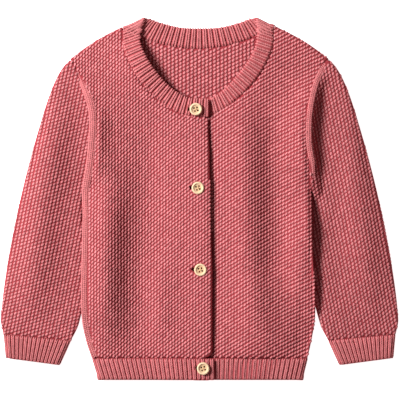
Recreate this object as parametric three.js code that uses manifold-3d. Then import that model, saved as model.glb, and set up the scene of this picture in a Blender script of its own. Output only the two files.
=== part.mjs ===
// A knitted baby cardigan laid flat: moss-stitch body and sleeves, ribbed hem, cuffs and neckband,
// and four wooden buttons. Millimetres, +Z up, the hem towards -Y, the wearer's right side towards -X.
// "up" is the distance above the hem's edge and "out" the distance from the middle line.
import * as THREE from 'three';
import { mergeVertices } from 'three/addons/utils/BufferGeometryUtils.js';
import Module from 'manifold-3d';

const wasm = await Module();
wasm.setup();

// Cloth
const WALL = 2.4;                 // thickness of one layer of knitting
const SEAM = 0.3;                 // space between two pieces that are sewn together
const FOLD_RADIUS = 1.8;          // radius of the middle of the cloth where it turns over at an edge
const TURN = FOLD_RADIUS + WALL / 2;
const RIB_HEIGHT = 0.9;           // how far a rib stands up from the cloth
const HEM_RIB = 4.0;              // width of one rib and its groove on the hem and cuffs
const NECK_RIB = 5.2;             // the same on the neckband
const GROOVE_SHARE = 0.17;        // half of a groove as a share of a rib
const NECK_SEAM = 0.55;           // from the band's seam to the panels, which meet it in short straights

// Body
const HEM_UP = 19.1;              // height of the ribbed hem
const UNDERARM_UP = 172;
const SHOULDER_TIP = { out: 117, up: 293 };
const OVERLAP = 24;               // how far one front lies over the other
const SIDE_LIFT = 6.4;            // how far the sides are held up by the sleeves under them
const SLEEVE_TUCK = 4;            // how far the sleeves reach under the sides
const SIDE_CLEARANCE = 0.5;       // between the sleeve and the side just below the underarm
const UNDER_FRONT_DROP = 0.8;     // the under front lies this much flatter below the overlap
const TOP_FRONT_RISE = 2.1;       // and the top front this much higher on it

// Buttons
const BUTTON = { radius: 5.7, thick: 2.8, rim: 1.1, dish: 0.9, spread: 1.45, hole: 0.8, turn: 0.26 };
const BUTTON_STAND = 0.9;         // the buttons stand this far off the cloth on their threads
const THREAD = { shank: 1.0, leg: 0.34, plate: 0.3, bar: 0.5, rise: 0.6 };
const SLIT = { inner: 7.6, outer: 3.0, width: 2.6 };
const BUTTONS = [
  { up: 246.2, out: -3.2 },
  { up: 174.7, out: -1.4 },
  { up: 100.3, out: 0.9 },
  { up: 10.7, out: 3.4 },
];

// Sides of the body from the hem's edge to the underarm, on the wearer's right and left
const BODY_SIDES = [
  { up: 0, right: 92.4, left: 94.2 },
  { up: 19, right: 98.3, left: 98.9 },
  { up: 36, right: 102.8, left: 102.4 },
  { up: 55, right: 106.4, left: 105.8 },
  { up: 82, right: 107.3, left: 105.5 },
  { up: 118, right: 106.7, left: 103.4 },
  { up: 150, right: 105.6, left: 102.4 },
  { up: 172, right: 104.0, left: 102.0 },
];
// Armhole seams from the underarm to the tip of the shoulder
const ARMHOLES = [
  { up: 172, right: 104.0, left: 102.0 },
  { up: 204, right: 100.1, left: 98.8 },
  { up: 224, right: 98.4, left: 96.4 },
  { up: 241, right: 98.2, left: 96.9 },
  { up: 256, right: 101.9, left: 100.4 },
  { up: 274, right: 109.0, left: 106.6 },
  { up: 293, right: 117.0, left: 117.0 },
];
// Shoulder line from the neckband to the tip
const SHOULDER = [
  { out: 69, up: 322.3 },
  { out: 78.5, up: 318.3 },
  { out: 92, up: 311.2 },
  { out: 104, up: 303.4 },
  { out: 117, up: 293 },
];
// Outer fold of a sleeve from the tip of the shoulder to the cuff
const SLEEVE_OUTER = [
  { out: 117, up: 293 },
  { out: 126.2, up: 282.6 },
  { out: 135.4, up: 263.5 },
  { out: 147, up: 227.5 },
  { out: 159.4, up: 182 },
  { out: 173.2, up: 118 },
  { out: 180.8, up: 66 },
  { out: 181.8, up: 51 },
  { out: 178.8, up: 41.2 },
];
// Inner fold of a sleeve where it leaves the side of the body
const SLEEVE_INNER_END = [
  { up: 55, out: 108.4 },
  { up: 45, out: 111.8 },
  { up: 35.4, out: 117 },
];
// Corners of a cuff at the sleeve and at its open end
const CUFF = {
  top: { outer: { out: 178.8, up: 41.2 }, inner: { out: 117, up: 35.4 } },
  end: { outer: { out: 177, up: 20 }, inner: { out: 126.6, up: 13.2 } },
};
// Front edge of the top front, measured towards the wearer's left
const FRONT_EDGE = [
  { up: 0, out: 13.6 },
  { up: 20, out: 13.3 },
  { up: 50, out: 11.5 },
  { up: 100, out: 11.4 },
  { up: 164, out: 9.4 },
  { up: 200, out: 8.9 },
  { up: 232, out: 8.8 },
  { up: 257, out: 8.8 },
];
// The neckband across its width: the seam to the body and the free edge, station by station
const BAND_RIGHT = [
  { seamX: 8.8, seamUp: 239.6, freeX: 8.8, freeUp: 256.4 },
  { seamX: -3.2, seamUp: 239.8, freeX: -1.4, freeUp: 256.6 },
  { seamX: -15, seamUp: 242.1, freeX: -10.9, freeUp: 257.8 },
  { seamX: -35.9, seamUp: 253.9, freeX: -25.9, freeUp: 266.6 },
  { seamX: -54.6, seamUp: 273.9, freeX: -41.2, freeUp: 283.5 },
  { seamX: -63.4, seamUp: 289.6, freeX: -49.1, freeUp: 296.4 },
  { seamX: -68.8, seamUp: 304, freeX: -53.6, freeUp: 309.6 },
];
const BAND_BACK = [
  { seamX: -45, seamUp: 308.9, freeX: -36, freeUp: 324.7 },
  { seamX: -22.3, seamUp: 303, freeX: -17.7, freeUp: 320.5 },
  { seamX: 0.5, seamUp: 301.7, freeX: 0.5, freeUp: 319.7 },
  { seamX: 24.1, seamUp: 304.3, freeX: 19.6, freeUp: 320.7 },
  { seamX: 45.4, seamUp: 310.6, freeX: 37.8, freeUp: 325 },
];
const BAND_LEFT = [
  { seamX: 67, seamUp: 307, freeX: 51.8, freeUp: 312 },
  { seamX: 63, seamUp: 294.4, freeX: 48.6, freeUp: 299.5 },
  { seamX: 53.9, seamUp: 277.6, freeX: 41, freeUp: 286.8 },
  { seamX: 36.4, seamUp: 257.8, freeX: 25.9, freeUp: 268.9 },
  { seamX: 15.6, seamUp: 243.2, freeX: 11.5, freeUp: 257.8 },
  { seamX: 0, seamUp: 239.9, freeX: 0, freeUp: 256.2 },
  { seamX: -15, seamUp: 239.7, freeX: -15, freeUp: 255.8 },
];
// Where the neckband turns over at the shoulders
const BAND_FOLD = {
  right: { seam: { x: -70.2, up: 321.8 }, free: { x: -50, up: 328.8 } },
  left: { seam: { x: 68, up: 322.8 }, free: { x: 51.2, up: 328.8 } },
};

// Soft folds: a line from one end to the other, the width of the fold, and its height, less than
// nothing for a trough. They lie on the top layer alone.
const FRONT_RIGHT_FOLDS = [
  { fromX: -82, fromUp: 205, toX: -88, toUp: 62, width: 13, height: 1.6 },
  { fromX: -60, fromUp: 240, toX: -52, toUp: 150, width: 24, height: -1.0 },
  { fromX: -42, fromUp: 112, toX: -40, toUp: 42, width: 12, height: 1.7 },
  { fromX: 1, fromUp: 236, toX: 5, toUp: 26, width: 13, height: 1.3 },
];
const FRONT_LEFT_FOLDS = [
  { fromX: 40, fromUp: 236, toX: 52, toUp: 50, width: 15, height: 3.6 },
  { fromX: 66, fromUp: 240, toX: 74, toUp: 50, width: 12, height: -0.6 },
  { fromX: 30, fromUp: 124, toX: 66, toUp: 84, width: 11, height: 0.7 },
];
const SLEEVE_FOLDS = {
  right: [
    { fromX: 136, fromUp: 238, toX: 158, toUp: 74, width: 17, height: 3.0 },
    { fromX: 122, fromUp: 96, toX: 152, toUp: 112, width: 9, height: 0.8 },
    { fromX: 128, fromUp: 62, toX: 166, toUp: 76, width: 8, height: 0.6 },
  ],
  left: [
    { fromX: 131, fromUp: 238, toX: 155, toUp: 74, width: 16, height: 2.8 },
    { fromX: 120, fromUp: 96, toX: 152, toUp: 112, width: 9, height: 0.9 },
    { fromX: 126, fromUp: 62, toX: 166, toUp: 76, width: 8, height: 0.7 },
  ],
};
// How far the neckline and the armhole seams stand up on each side
const NECK_LIFT = {
  right: { x: -47, up: 292, spread: 27, height: 7.2 },
  left: { x: 45, up: 292, spread: 27, height: 3.4 },
};
const ARMHOLE_RISE = {
  right: { height: 2.0, onBody: 10, onSleeve: 8 },
  left: { height: 4.6, onBody: 15, onSleeve: 6 },
};
// Where the sides come down from the sleeves under them, measured inwards from the side
const SIDE_SLOPE = { right: { from: 12, to: 44 }, left: { from: 5, to: 30 } };

const { smoothstep, lerp, clamp } = THREE.MathUtils;
const mirror = { right: -1, left: 1 };

// A smooth curve in the plane through rows of { x, up }, with quick distances to it
class Edge {
  constructor(points) {
    this.curve = new THREE.CatmullRomCurve3(points.map((p) => new THREE.Vector3(p.x, p.up, 0)), false, 'centripetal');
    this.samples = this.curve.getPoints(points.length * 8);
  }
  xAt(up) {
    const rows = this.samples;
    let k = 1;
    const rising = rows[rows.length - 1].y > rows[0].y;
    while (k < rows.length - 1 && (rising ? rows[k].y < up : rows[k].y > up)) k += 1;
    const a = rows[k - 1];
    const b = rows[k];
    return lerp(a.x, b.x, (up - a.y) / (b.y - a.y));
  }
  nearest(x, up) {
    const here = new THREE.Vector3(x, up, 0);
    const best = new THREE.Vector3();
    const line = new THREE.Line3();
    const foot = new THREE.Vector3();
    let distance = Infinity;
    for (let k = 1; k < this.samples.length; k += 1) {
      line.set(this.samples[k - 1], this.samples[k]);
      line.closestPointToPoint(here, true, foot);
      const d = foot.distanceTo(here);
      if (d < distance) {
        distance = d;
        best.copy(foot);
      }
    }
    return { distance, point: best };
  }
}

const sideRows = (rows, side) => rows.map((row) => ({ x: mirror[side] * row[side], up: row.up }));
const outRows = (rows, side) => rows.map((row) => ({ x: mirror[side] * row.out, up: row.up }));

// Edges of each half
function halfEdges(side) {
  const fold = BAND_FOLD[side];
  const shoulder = new Edge([
    { x: fold.free.x, up: fold.free.up },
    ...outRows(SHOULDER, side),
    ...outRows(SLEEVE_OUTER, side).slice(1),
    { x: mirror[side] * CUFF.end.outer.out, up: CUFF.end.outer.up },
  ]);
  const body = new Edge(sideRows(BODY_SIDES, side));
  const armhole = new Edge(sideRows(ARMHOLES, side));
  // The sleeve's inner fold keeps beside the body, and under it where the side is held up
  const inner = BODY_SIDES.filter((row) => row.up > 56).reverse().map((row) => ({
    x: mirror[side] * (row[side] - sleeveTuck(row.up)),
    up: row.up,
  }));
  const innerFold = new Edge([
    ...inner,
    ...outRows(SLEEVE_INNER_END, side),
    { x: mirror[side] * CUFF.end.inner.out, up: CUFF.end.inner.up },
  ]);
  return { shoulder, body, armhole, innerFold };
}

function sleeveTuck(up) {
  return -SIDE_CLEARANCE + (SLEEVE_TUCK + SIDE_CLEARANCE) * smoothstep(up, 58, 82) * (1 - smoothstep(up, 130, 150));
}

const HALF = { right: halfEdges('right'), left: halfEdges('left') };
const FRONT_LINE = new Edge(outRows(FRONT_EDGE, 'left'));

// Height of one fold at a place
function foldHeight(fold, x, up) {
  const dx = fold.toX - fold.fromX;
  const dy = fold.toUp - fold.fromUp;
  const length = Math.hypot(dx, dy);
  const along = ((x - fold.fromX) * dx + (up - fold.fromUp) * dy) / (length * length);
  const across = ((x - fold.fromX) * dy - (up - fold.fromUp) * dx) / length;
  const ends = smoothstep(along, -0.25, 0.3) * (1 - smoothstep(along, 0.7, 1.25));
  return fold.height * ends * Math.exp(-((across / fold.width) ** 2));
}

const foldsHeight = (folds, x, up) => folds.reduce((sum, fold) => sum + foldHeight(fold, x, up), 0);

// How far the back layer is held up near the sides of the body
function sideLift(x, up) {
  const side = x < 0 ? 'right' : 'left';
  const inside = Math.abs(HALF[side].body.xAt(clamp(up, 0, UNDERARM_UP))) - Math.abs(x);
  const along = smoothstep(up, 42, 66) * (1 - smoothstep(up, 138, 170));
  return SIDE_LIFT * along * (1 - smoothstep(inside, SIDE_SLOPE[side].from, SIDE_SLOPE[side].to));
}

function armholeRise(side, x, up, width) {
  const along = smoothstep(up, UNDERARM_UP + 3, UNDERARM_UP + 30) * (1 - smoothstep(up, 258, 286));
  if (along === 0) return 0;
  const { distance } = HALF[side].armhole.nearest(x, up);
  return ARMHOLE_RISE[side].height * along * Math.exp(-((distance / width) ** 2));
}

// How much higher than flat cloth the top layer of a front lies at a place
function frontRise(side, x, up) {
  const edges = HALF[side];
  const fromFold = Math.min(edges.shoulder.nearest(x, up).distance, edges.body.nearest(x, up).distance);
  const free = smoothstep(fromFold, TURN, 24);
  const fromArmhole = edges.armhole.nearest(x, up).distance;
  const folds = side === 'right' ? FRONT_RIGHT_FOLDS : FRONT_LEFT_FOLDS;
  const neck = NECK_LIFT[side];
  const nearNeck = Math.exp(-((Math.hypot(x - neck.x, up - neck.up) / neck.spread) ** 2));
  const overlap = side === 'right'
    ? TOP_FRONT_RISE * smoothstep(x, -46, -17)
    : -UNDER_FRONT_DROP * (1 - smoothstep(x, 12, 34));
  const soft = (foldsHeight(folds, x, up) + neck.height * nearNeck) * smoothstep(fromArmhole, 1, 22);
  return overlap + free * soft + armholeRise(side, x, up, ARMHOLE_RISE[side].onBody);
}

function sleeveRise(side, x, up) {
  const edges = HALF[side];
  const fromFold = Math.min(edges.shoulder.nearest(x, up).distance, edges.innerFold.nearest(x, up).distance);
  const fromArmhole = up > UNDERARM_UP - 20 ? edges.armhole.nearest(x, up).distance : Infinity;
  const free = smoothstep(fromFold, TURN, 20) * smoothstep(fromArmhole, 1, 16) * smoothstep(up, 36, 60);
  const folds = free * foldsHeight(SLEEVE_FOLDS[side], Math.abs(x), up);
  return folds + armholeRise(side, x, up, ARMHOLE_RISE[side].onSleeve);
}

// The middle of the cloth and its outward direction at a place of a layer. Near a fold the layer
// turns down in a quarter circle to meet the other layer.
function clothPoint({ upper, folds, low, rise }, x, up) {
  let near = { distance: Infinity, point: null };
  for (const fold of folds) {
    const found = fold.nearest(x, up);
    if (found.distance < near.distance) near = found;
  }
  const level = clamp((TURN - near.distance) / FOLD_RADIUS, 0, 1);
  const steep = Math.sqrt(1 - level * level);
  const height = (px, py) => low(px, py) + (upper ? rise(px, py) : 0);
  const step = 0.05;
  const slopeX = (height(x + step, up) - height(x - step, up)) / (2 * step);
  const slopeY = (height(x, up + step) - height(x, up - step)) / (2 * step);
  const sign = upper ? 1 : -1;
  const normal = new THREE.Vector3(-slopeX * steep * sign, -slopeY * steep * sign, steep * sign);
  if (level > 0) {
    const outward = near.point.clone().sub(new THREE.Vector3(x, up, 0)).normalize();
    normal.addScaledVector(outward, level);
  }
  normal.normalize();
  const middle = new THREE.Vector3(x, up, height(x, up) + WALL / 2 + FOLD_RADIUS + sign * FOLD_RADIUS * steep);
  return { middle, normal };
}

// Both faces of a wall from a grid of places, with ribs raised on one face
function wallGrid(layer, rows, rib = () => ({ outer: 0, inner: 0 })) {
  const outer = [];
  const inner = [];
  rows.forEach((row, j) => {
    const outerRow = [];
    const innerRow = [];
    row.forEach((place, k) => {
      const { middle, normal } = clothPoint(place.layer ?? layer, place.x, place.up);
      const raised = rib(j, k, place);
      outerRow.push(middle.clone().addScaledVector(normal, WALL / 2 + raised.outer));
      innerRow.push(middle.clone().addScaledVector(normal, -WALL / 2 - raised.inner));
    });
    outer.push(outerRow);
    inner.push(innerRow);
  });
  return { outer, inner };
}

// One closed solid between two grids. A row that closes on itself repeats its first place at its end.
function wallGeometry({ outer, inner }, closed = () => false) {
  const positions = [];
  const add = (a, b, c) => positions.push(a.x, a.y, a.z, b.x, b.y, b.z, c.x, c.y, c.z);
  const quad = (a, b, c, d) => {
    add(a, b, c);
    add(a, c, d);
  };
  const last = outer.length - 1;
  const end = outer[0].length - 1;
  for (let j = 0; j < last; j += 1) {
    for (let k = 0; k < end; k += 1) {
      quad(outer[j][k], outer[j][k + 1], outer[j + 1][k + 1], outer[j + 1][k]);
      quad(inner[j][k], inner[j + 1][k], inner[j + 1][k + 1], inner[j][k + 1]);
    }
    if (!(closed(j) && closed(j + 1))) {
      quad(outer[j][0], outer[j + 1][0], inner[j + 1][0], inner[j][0]);
      quad(outer[j][end], inner[j][end], inner[j + 1][end], outer[j + 1][end]);
    }
  }
  for (let k = 0; k < end; k += 1) {
    quad(outer[0][k], inner[0][k], inner[0][k + 1], outer[0][k + 1]);
    quad(outer[last][k], outer[last][k + 1], inner[last][k + 1], inner[last][k]);
  }
  const loose = new THREE.BufferGeometry();
  loose.setAttribute('position', new THREE.Float32BufferAttribute(positions, 3));
  const geometry = mergeVertices(loose, 1e-3);
  return volume(geometry) < 0 ? turnedOut(geometry) : geometry;
}

function volume(geometry) {
  const p = geometry.attributes.position;
  const index = geometry.index.array;
  const [a, b, c] = [new THREE.Vector3(), new THREE.Vector3(), new THREE.Vector3()];
  let sum = 0;
  for (let k = 0; k < index.length; k += 3) {
    a.fromBufferAttribute(p, index[k]);
    b.fromBufferAttribute(p, index[k + 1]);
    c.fromBufferAttribute(p, index[k + 2]);
    sum += a.dot(b.cross(c)) / 6;
  }
  return sum;
}

function turnedOut(geometry) {
  const index = geometry.index.array;
  for (let k = 0; k < index.length; k += 3) [index[k], index[k + 1]] = [index[k + 1], index[k]];
  return geometry;
}

// Cutting and joining
function toSolid(geometry) {
  const clean = geometry.clone();
  clean.deleteAttribute('normal');
  clean.deleteAttribute('uv');
  const merged = mergeVertices(clean, 1e-4);
  return new wasm.Manifold(new wasm.Mesh({
    numProp: 3,
    vertProperties: new Float32Array(merged.attributes.position.array),
    triVerts: new Uint32Array(merged.index.array),
  }));
}

function toGeometry(solid) {
  const mesh = solid.getMesh();
  const geometry = new THREE.BufferGeometry();
  geometry.setAttribute('position', new THREE.BufferAttribute(mesh.vertProperties, 3));
  geometry.setIndex(new THREE.BufferAttribute(mesh.triVerts, 1));
  return geometry;
}

// The layers of the garment
const flat = () => 0;
const layerOf = {
  back: (side) => ({ upper: false, folds: [HALF[side].body, HALF[side].shoulder], low: sideLift, rise: flat }),
  front: (side) => ({
    upper: true,
    folds: [HALF[side].body, HALF[side].shoulder],
    low: sideLift,
    rise: (x, up) => frontRise(side, x, up),
  }),
  sleeve: (side, upper) => ({
    upper,
    folds: [HALF[side].innerFold, HALF[side].shoulder],
    low: flat,
    rise: (x, up) => sleeveRise(side, x, up),
  }),
};
const LAYER = {
  backRight: layerOf.back('right'),
  backLeft: layerOf.back('left'),
  frontRight: layerOf.front('right'),
  frontLeft: layerOf.front('left'),
};
const backLayer = (x) => (x < 0 ? LAYER.backRight : LAYER.backLeft);

// Places along the sides and armholes, the same for every piece that meets there
const FOLD_STEPS = [TURN - FOLD_RADIUS + 0.006, TURN - FOLD_RADIUS * 0.7, TURN];
const SIDE_UPS = [HEM_UP + SEAM / 2, 37, 54, 70, 92, 116, 138, 150, 160, UNDERARM_UP];
const ARMHOLE_UPS = [
  UNDERARM_UP + FOLD_STEPS[1], UNDERARM_UP + FOLD_STEPS[2], 184, 197, 210, 223, 235, 246, 256, 266, 275, 284,
];

// Height on the armhole where the cloth is a given distance from the shoulder's fold
function armholeUpNearTip(side, distance) {
  let low = UNDERARM_UP;
  let high = SHOULDER_TIP.up;
  for (let k = 0; k < 40; k += 1) {
    const up = (low + high) / 2;
    const away = HALF[side].shoulder.nearest(HALF[side].armhole.xAt(up), up).distance;
    if (away > distance) low = up;
    else high = up;
  }
  return low;
}

// The outer end of each row of a front or back: on the side's fold, then on the armhole seam
function outerEnds(side) {
  const edges = HALF[side];
  const sign = mirror[side];
  const onSide = SIDE_UPS.map((up) => ({ x: edges.body.xAt(up) - sign * FOLD_STEPS[0], up }));
  const tips = [...FOLD_STEPS].reverse().map((step) => armholeUpNearTip(side, step));
  const onArmhole = [...ARMHOLE_UPS, ...tips].map((up) => ({ x: edges.armhole.xAt(up) - sign * SEAM / 2, up }));
  return [...onSide, ...onArmhole];
}

// The shoulder line, moved in to where the middle of the cloth turns upright
function shoulderUp(side, x, inset) {
  let low = SHOULDER_TIP.up - 12;
  let high = 335;
  for (let k = 0; k < 40; k += 1) {
    const up = (low + high) / 2;
    const found = HALF[side].shoulder.nearest(x, up);
    if (up < found.point.y && found.distance > inset) low = up;
    else high = up;
  }
  return low;
}

// Columns of a front from its middle edge to its side, close together where the cloth turns over
function frontColumns(width, onSide) {
  const fromSide = onSide ? [...FOLD_STEPS.map((d) => d - FOLD_STEPS[0]), 7, 16, 24] : [0, 3, 6, 10, 15, 21];
  const shares = fromSide.map((d) => 1 - d / width).reverse();
  const middle = 6;
  const columns = [];
  for (let k = 0; k < middle; k += 1) columns.push((shares[0] * k) / middle);
  return [...columns, ...shares];
}

// The neckband across its width at a fold, moved in from the fold by a distance
function foldRow(fold, distance) {
  const along = new THREE.Vector2(fold.free.x - fold.seam.x, fold.free.up - fold.seam.up).normalize();
  const down = new THREE.Vector2(along.y, -along.x);
  if (down.y > 0) down.negate();
  return {
    seamX: fold.seam.x + down.x * distance,
    seamUp: fold.seam.up + down.y * distance,
    freeX: fold.free.x + down.x * distance,
    freeUp: fold.free.up + down.y * distance,
  };
}

// The two edges of a stretch of the neckband, sampled by length along its middle
class BandCurves {
  constructor(rows) {
    const curve = (place) => new THREE.CatmullRomCurve3(rows.map(place), false, 'centripetal');
    this.seam = curve((r) => new THREE.Vector3(r.seamX, r.seamUp, 0));
    this.free = curve((r) => new THREE.Vector3(r.freeX, r.freeUp, 0));
    this.middle = curve((r) => new THREE.Vector3((r.seamX + r.freeX) / 2, (r.seamUp + r.freeUp) / 2, 0));
  }
  at(share) {
    const t = this.middle.getUtoTmapping(clamp(share, 0, 1));
    return { seam: this.seam.getPoint(t), free: this.free.getPoint(t) };
  }
  panelPlace(share) {
    const { seam, free } = this.at(share);
    return panelBeside(seam, free);
  }
}

function panelBeside(seam, free) {
  const across = seam.clone().sub(free).normalize();
  return { x: seam.x + across.x * NECK_SEAM, up: seam.y + across.y * NECK_SEAM };
}

const BAND = {
  right: new BandCurves([...BAND_RIGHT, foldRow(BAND_FOLD.right, TURN)]),
  back: new BandCurves([foldRow(BAND_FOLD.right, TURN), ...BAND_BACK, foldRow(BAND_FOLD.left, TURN)]),
  left: new BandCurves([foldRow(BAND_FOLD.left, TURN), ...BAND_LEFT]),
};

// Rows of places of a front panel
function frontRows(side) {
  const outer = outerEnds(side);
  const count = outer.length;
  const corner = outer.findIndex((place) => place.up > 180);
  const edgeShift = side === 'right' ? 0 : -OVERLAP;
  const neckPlace = (share) => BAND[side].panelPlace(side === 'right' ? share : 1 - share);
  const start = neckPlace(0);
  const inner = outer.map((place, j) => {
    if (j <= corner) {
      const up = lerp(HEM_UP + SEAM / 2, start.up, j / corner);
      return { x: FRONT_LINE.xAt(up) + edgeShift, up };
    }
    if (j < count - 2) return neckPlace((j - corner) / (count - 3 - corner));
    const row = foldRow(BAND_FOLD[side], FOLD_STEPS[count - 1 - j]);
    return panelBeside(new THREE.Vector3(row.seamX, row.seamUp, 0), new THREE.Vector3(row.freeX, row.freeUp, 0));
  });
  const tip = { inner: inner[count - 1], outer: outer[count - 1] };
  return outer.map((place, j) => {
    const from = inner[j];
    const weight = Math.max(0, (j - corner) / (count - 1 - corner)) ** 3;
    const width = Math.hypot(place.x - from.x, place.up - from.up);
    return frontColumns(width, place.up <= UNDERARM_UP).map((share) => {
      const x = lerp(from.x, place.x, share);
      const alongTip = clamp((x - tip.inner.x) / (tip.outer.x - tip.inner.x), 0, 1);
      const tipX = lerp(tip.inner.x, tip.outer.x, alongTip);
      const bulge = shoulderUp(side, tipX, FOLD_STEPS[0]) - lerp(tip.inner.up, tip.outer.up, alongTip);
      return { x, up: lerp(from.up, place.up, share) + bulge * weight * Math.min(1, 12 * share) };
    });
  });
}

// Rows of places of the back panel
function backRows() {
  const right = outerEnds('right');
  const left = outerEnds('left');
  const first = right[right.length - 1];
  const final = left[left.length - 1];
  const neck = [0, 0.06, 0.14, 0.26, 0.38, 0.5, 0.62, 0.74, 0.86, 0.94, 1].map((share) => BAND.back.panelPlace(share));
  const topUp = (x) => {
    if (x < neck[0].x - 1) return shoulderUp('right', x, FOLD_STEPS[0]);
    if (x > neck[neck.length - 1].x + 1) return shoulderUp('left', x, FOLD_STEPS[0]);
    const k = Math.max(1, neck.findIndex((place, n) => place.x > x || n === neck.length - 1));
    const [a, b] = [neck[k - 1], neck[k]];
    return lerp(a.up, b.up, (x - a.x) / (b.x - a.x));
  };
  return right.map((start, j) => {
    const end = left[j];
    const weight = clamp((start.up - 150) / (first.up - 150), 0, 1) ** 2;
    const near = start.up <= UNDERARM_UP
      ? [...FOLD_STEPS.map((d) => d - FOLD_STEPS[0]), 7, 16, 24]
      : [0, 3, 6, 10, 15, 21];
    const xs = [
      ...near.map((d) => start.x + d),
      neck[0].x - 2,
      ...neck.map((place) => place.x),
      neck[neck.length - 1].x + 2,
      ...[...near].reverse().map((d) => end.x - d),
    ];
    return xs.map((x) => {
      const share = (x - start.x) / (end.x - start.x);
      const top = topUp(lerp(first.x, final.x, share));
      const topChord = lerp(first.up, final.up, share);
      return { x, up: lerp(start.up, end.up, share) + (top - topChord) * weight, layer: backLayer(x) };
    });
  });
}

// Rows of places of a sleeve, from the tip of the shoulder down to the cuff. Each row runs over the
// upper layer, round the outer fold and back under the lower layer.
function sleeveRows(side) {
  const edges = HALF[side];
  const outerFold = new Edge(outRows(SLEEVE_OUTER.slice(0, -1), side));
  const sign = mirror[side];
  const upperLayer = layerOf.sleeve(side, true);
  const lowerLayer = layerOf.sleeve(side, false);
  const cuffUp = (CUFF.top.outer.up + CUFF.top.inner.up) / 2;
  const above = [armholeUpNearTip(side, TURN), ...[...ARMHOLE_UPS].reverse()];
  const below = [...SIDE_UPS.filter((up) => up > 50).reverse(), 50, cuffUp + SEAM / 2];
  const span = (from, to, count) => Array.from({ length: count }, (_, k) => lerp(from, to, (k + 1) / (count + 1)));
  const rows = [...above, ...below].map((up, j) => {
    const closed = j >= above.length;
    const slant = 1 - smoothstep(up, cuffUp, 80);
    const outerUp = up + (CUFF.top.outer.up - cuffUp) * slant;
    const innerUp = up + (CUFF.top.inner.up - cuffUp) * slant;
    const outline = up < 45 ? CUFF.top.outer.out : Math.abs(outerFold.xAt(outerUp));
    const insideX = closed ? Math.abs(edges.innerFold.xAt(innerUp)) : Math.abs(edges.armhole.xAt(up)) + SEAM / 2;
    const scale = Math.min(1, (outline - insideX - TURN) / 12);
    const nearInner = closed
      ? [TURN - FOLD_RADIUS, FOLD_STEPS[1], TURN].map((d) => insideX + d)
      : [0, 0.6, 1.8].map((d) => insideX + d * scale);
    const from = nearInner[2];
    const to = outline - TURN;
    const place = (out, layer) => {
      const across = clamp((out - insideX) / (outline - insideX), 0, 1);
      return { x: sign * out, up: lerp(innerUp, outerUp, across), layer };
    };
    return [
      ...nearInner.map((out) => place(out, upperLayer)),
      ...span(from, to, 6).map((out) => place(out, upperLayer)),
      place(to, upperLayer),
      place(outline - FOLD_STEPS[1], upperLayer),
      place(outline - TURN + FOLD_RADIUS, upperLayer),
      place(outline - FOLD_STEPS[1], lowerLayer),
      place(to, lowerLayer),
      ...span(from, to, 2).reverse().map((out) => place(out, lowerLayer)),
      ...[...nearInner].reverse().map((out) => place(out, lowerLayer)),
    ];
  });
  return { rows, closed: (j) => j >= above.length };
}

// Height of a rib's face at a share of its width: a flat crown with a narrow groove at each end
function ribStations(length, pitch) {
  const count = Math.round(length / pitch);
  const stations = [];
  for (let k = 0; k < count; k += 1) {
    stations.push({ share: k / count, raised: 0 });
    stations.push({ share: (k + GROOVE_SHARE) / count, raised: RIB_HEIGHT });
    stations.push({ share: (k + 1 - GROOVE_SHARE) / count, raised: RIB_HEIGHT });
  }
  stations.push({ share: 1, raised: 0 });
  return stations;
}

// A hem strip between two distances from the middle
function hemFront(side) {
  const sign = mirror[side];
  const edges = HALF[side];
  const shift = side === 'right' ? 0 : -OVERLAP;
  const middle = FRONT_LINE.xAt(8) + shift;
  const width = Math.abs(edges.body.xAt(8) - sign * TURN - middle);
  const visible = side === 'right' ? 0 : (OVERLAP + 1) / width;
  const ribs = ribStations(width * (1 - visible), HEM_RIB);
  const stations = ribs.map(({ share, raised }) => ({ share: visible + share * (1 - visible), raised }));
  if (visible > 0) stations.unshift({ share: 0, raised: 0 });
  const ups = [0, HEM_UP - 2.5, HEM_UP - SEAM / 2];
  const rows = ups.map((up) => {
    const start = FRONT_LINE.xAt(up) + shift;
    const outline = edges.body.xAt(up);
    const flatEnd = outline - sign * TURN;
    const places = stations.map(({ share, raised }) => ({ x: lerp(start, flatEnd, share), up, raised }));
    places.push({ x: outline - sign * FOLD_STEPS[1], up, raised: 0 });
    places.push({ x: outline - sign * FOLD_STEPS[0], up, raised: 0 });
    return places;
  });
  const rib = (j, k, place) => ({ outer: j === ups.length - 1 ? 0 : place.raised, inner: 0 });
  return wallGeometry(wallGrid(side === 'right' ? LAYER.frontRight : LAYER.frontLeft, rows, rib));
}

function hemBack() {
  const ups = [0, HEM_UP - SEAM / 2];
  const steps = 16;
  const rows = ups.map((up) => {
    const right = HALF.right.body.xAt(up);
    const left = HALF.left.body.xAt(up);
    const flatPart = [];
    for (let k = 1; k < steps; k += 1) flatPart.push(lerp(right + TURN, left - TURN, k / steps));
    const xs = [
      ...FOLD_STEPS.map((d) => right + d),
      ...flatPart,
      ...[...FOLD_STEPS].reverse().map((d) => left - d),
    ];
    return xs.map((x) => ({ x, up, layer: backLayer(x) }));
  });
  return wallGeometry(wallGrid(null, rows));
}

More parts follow.
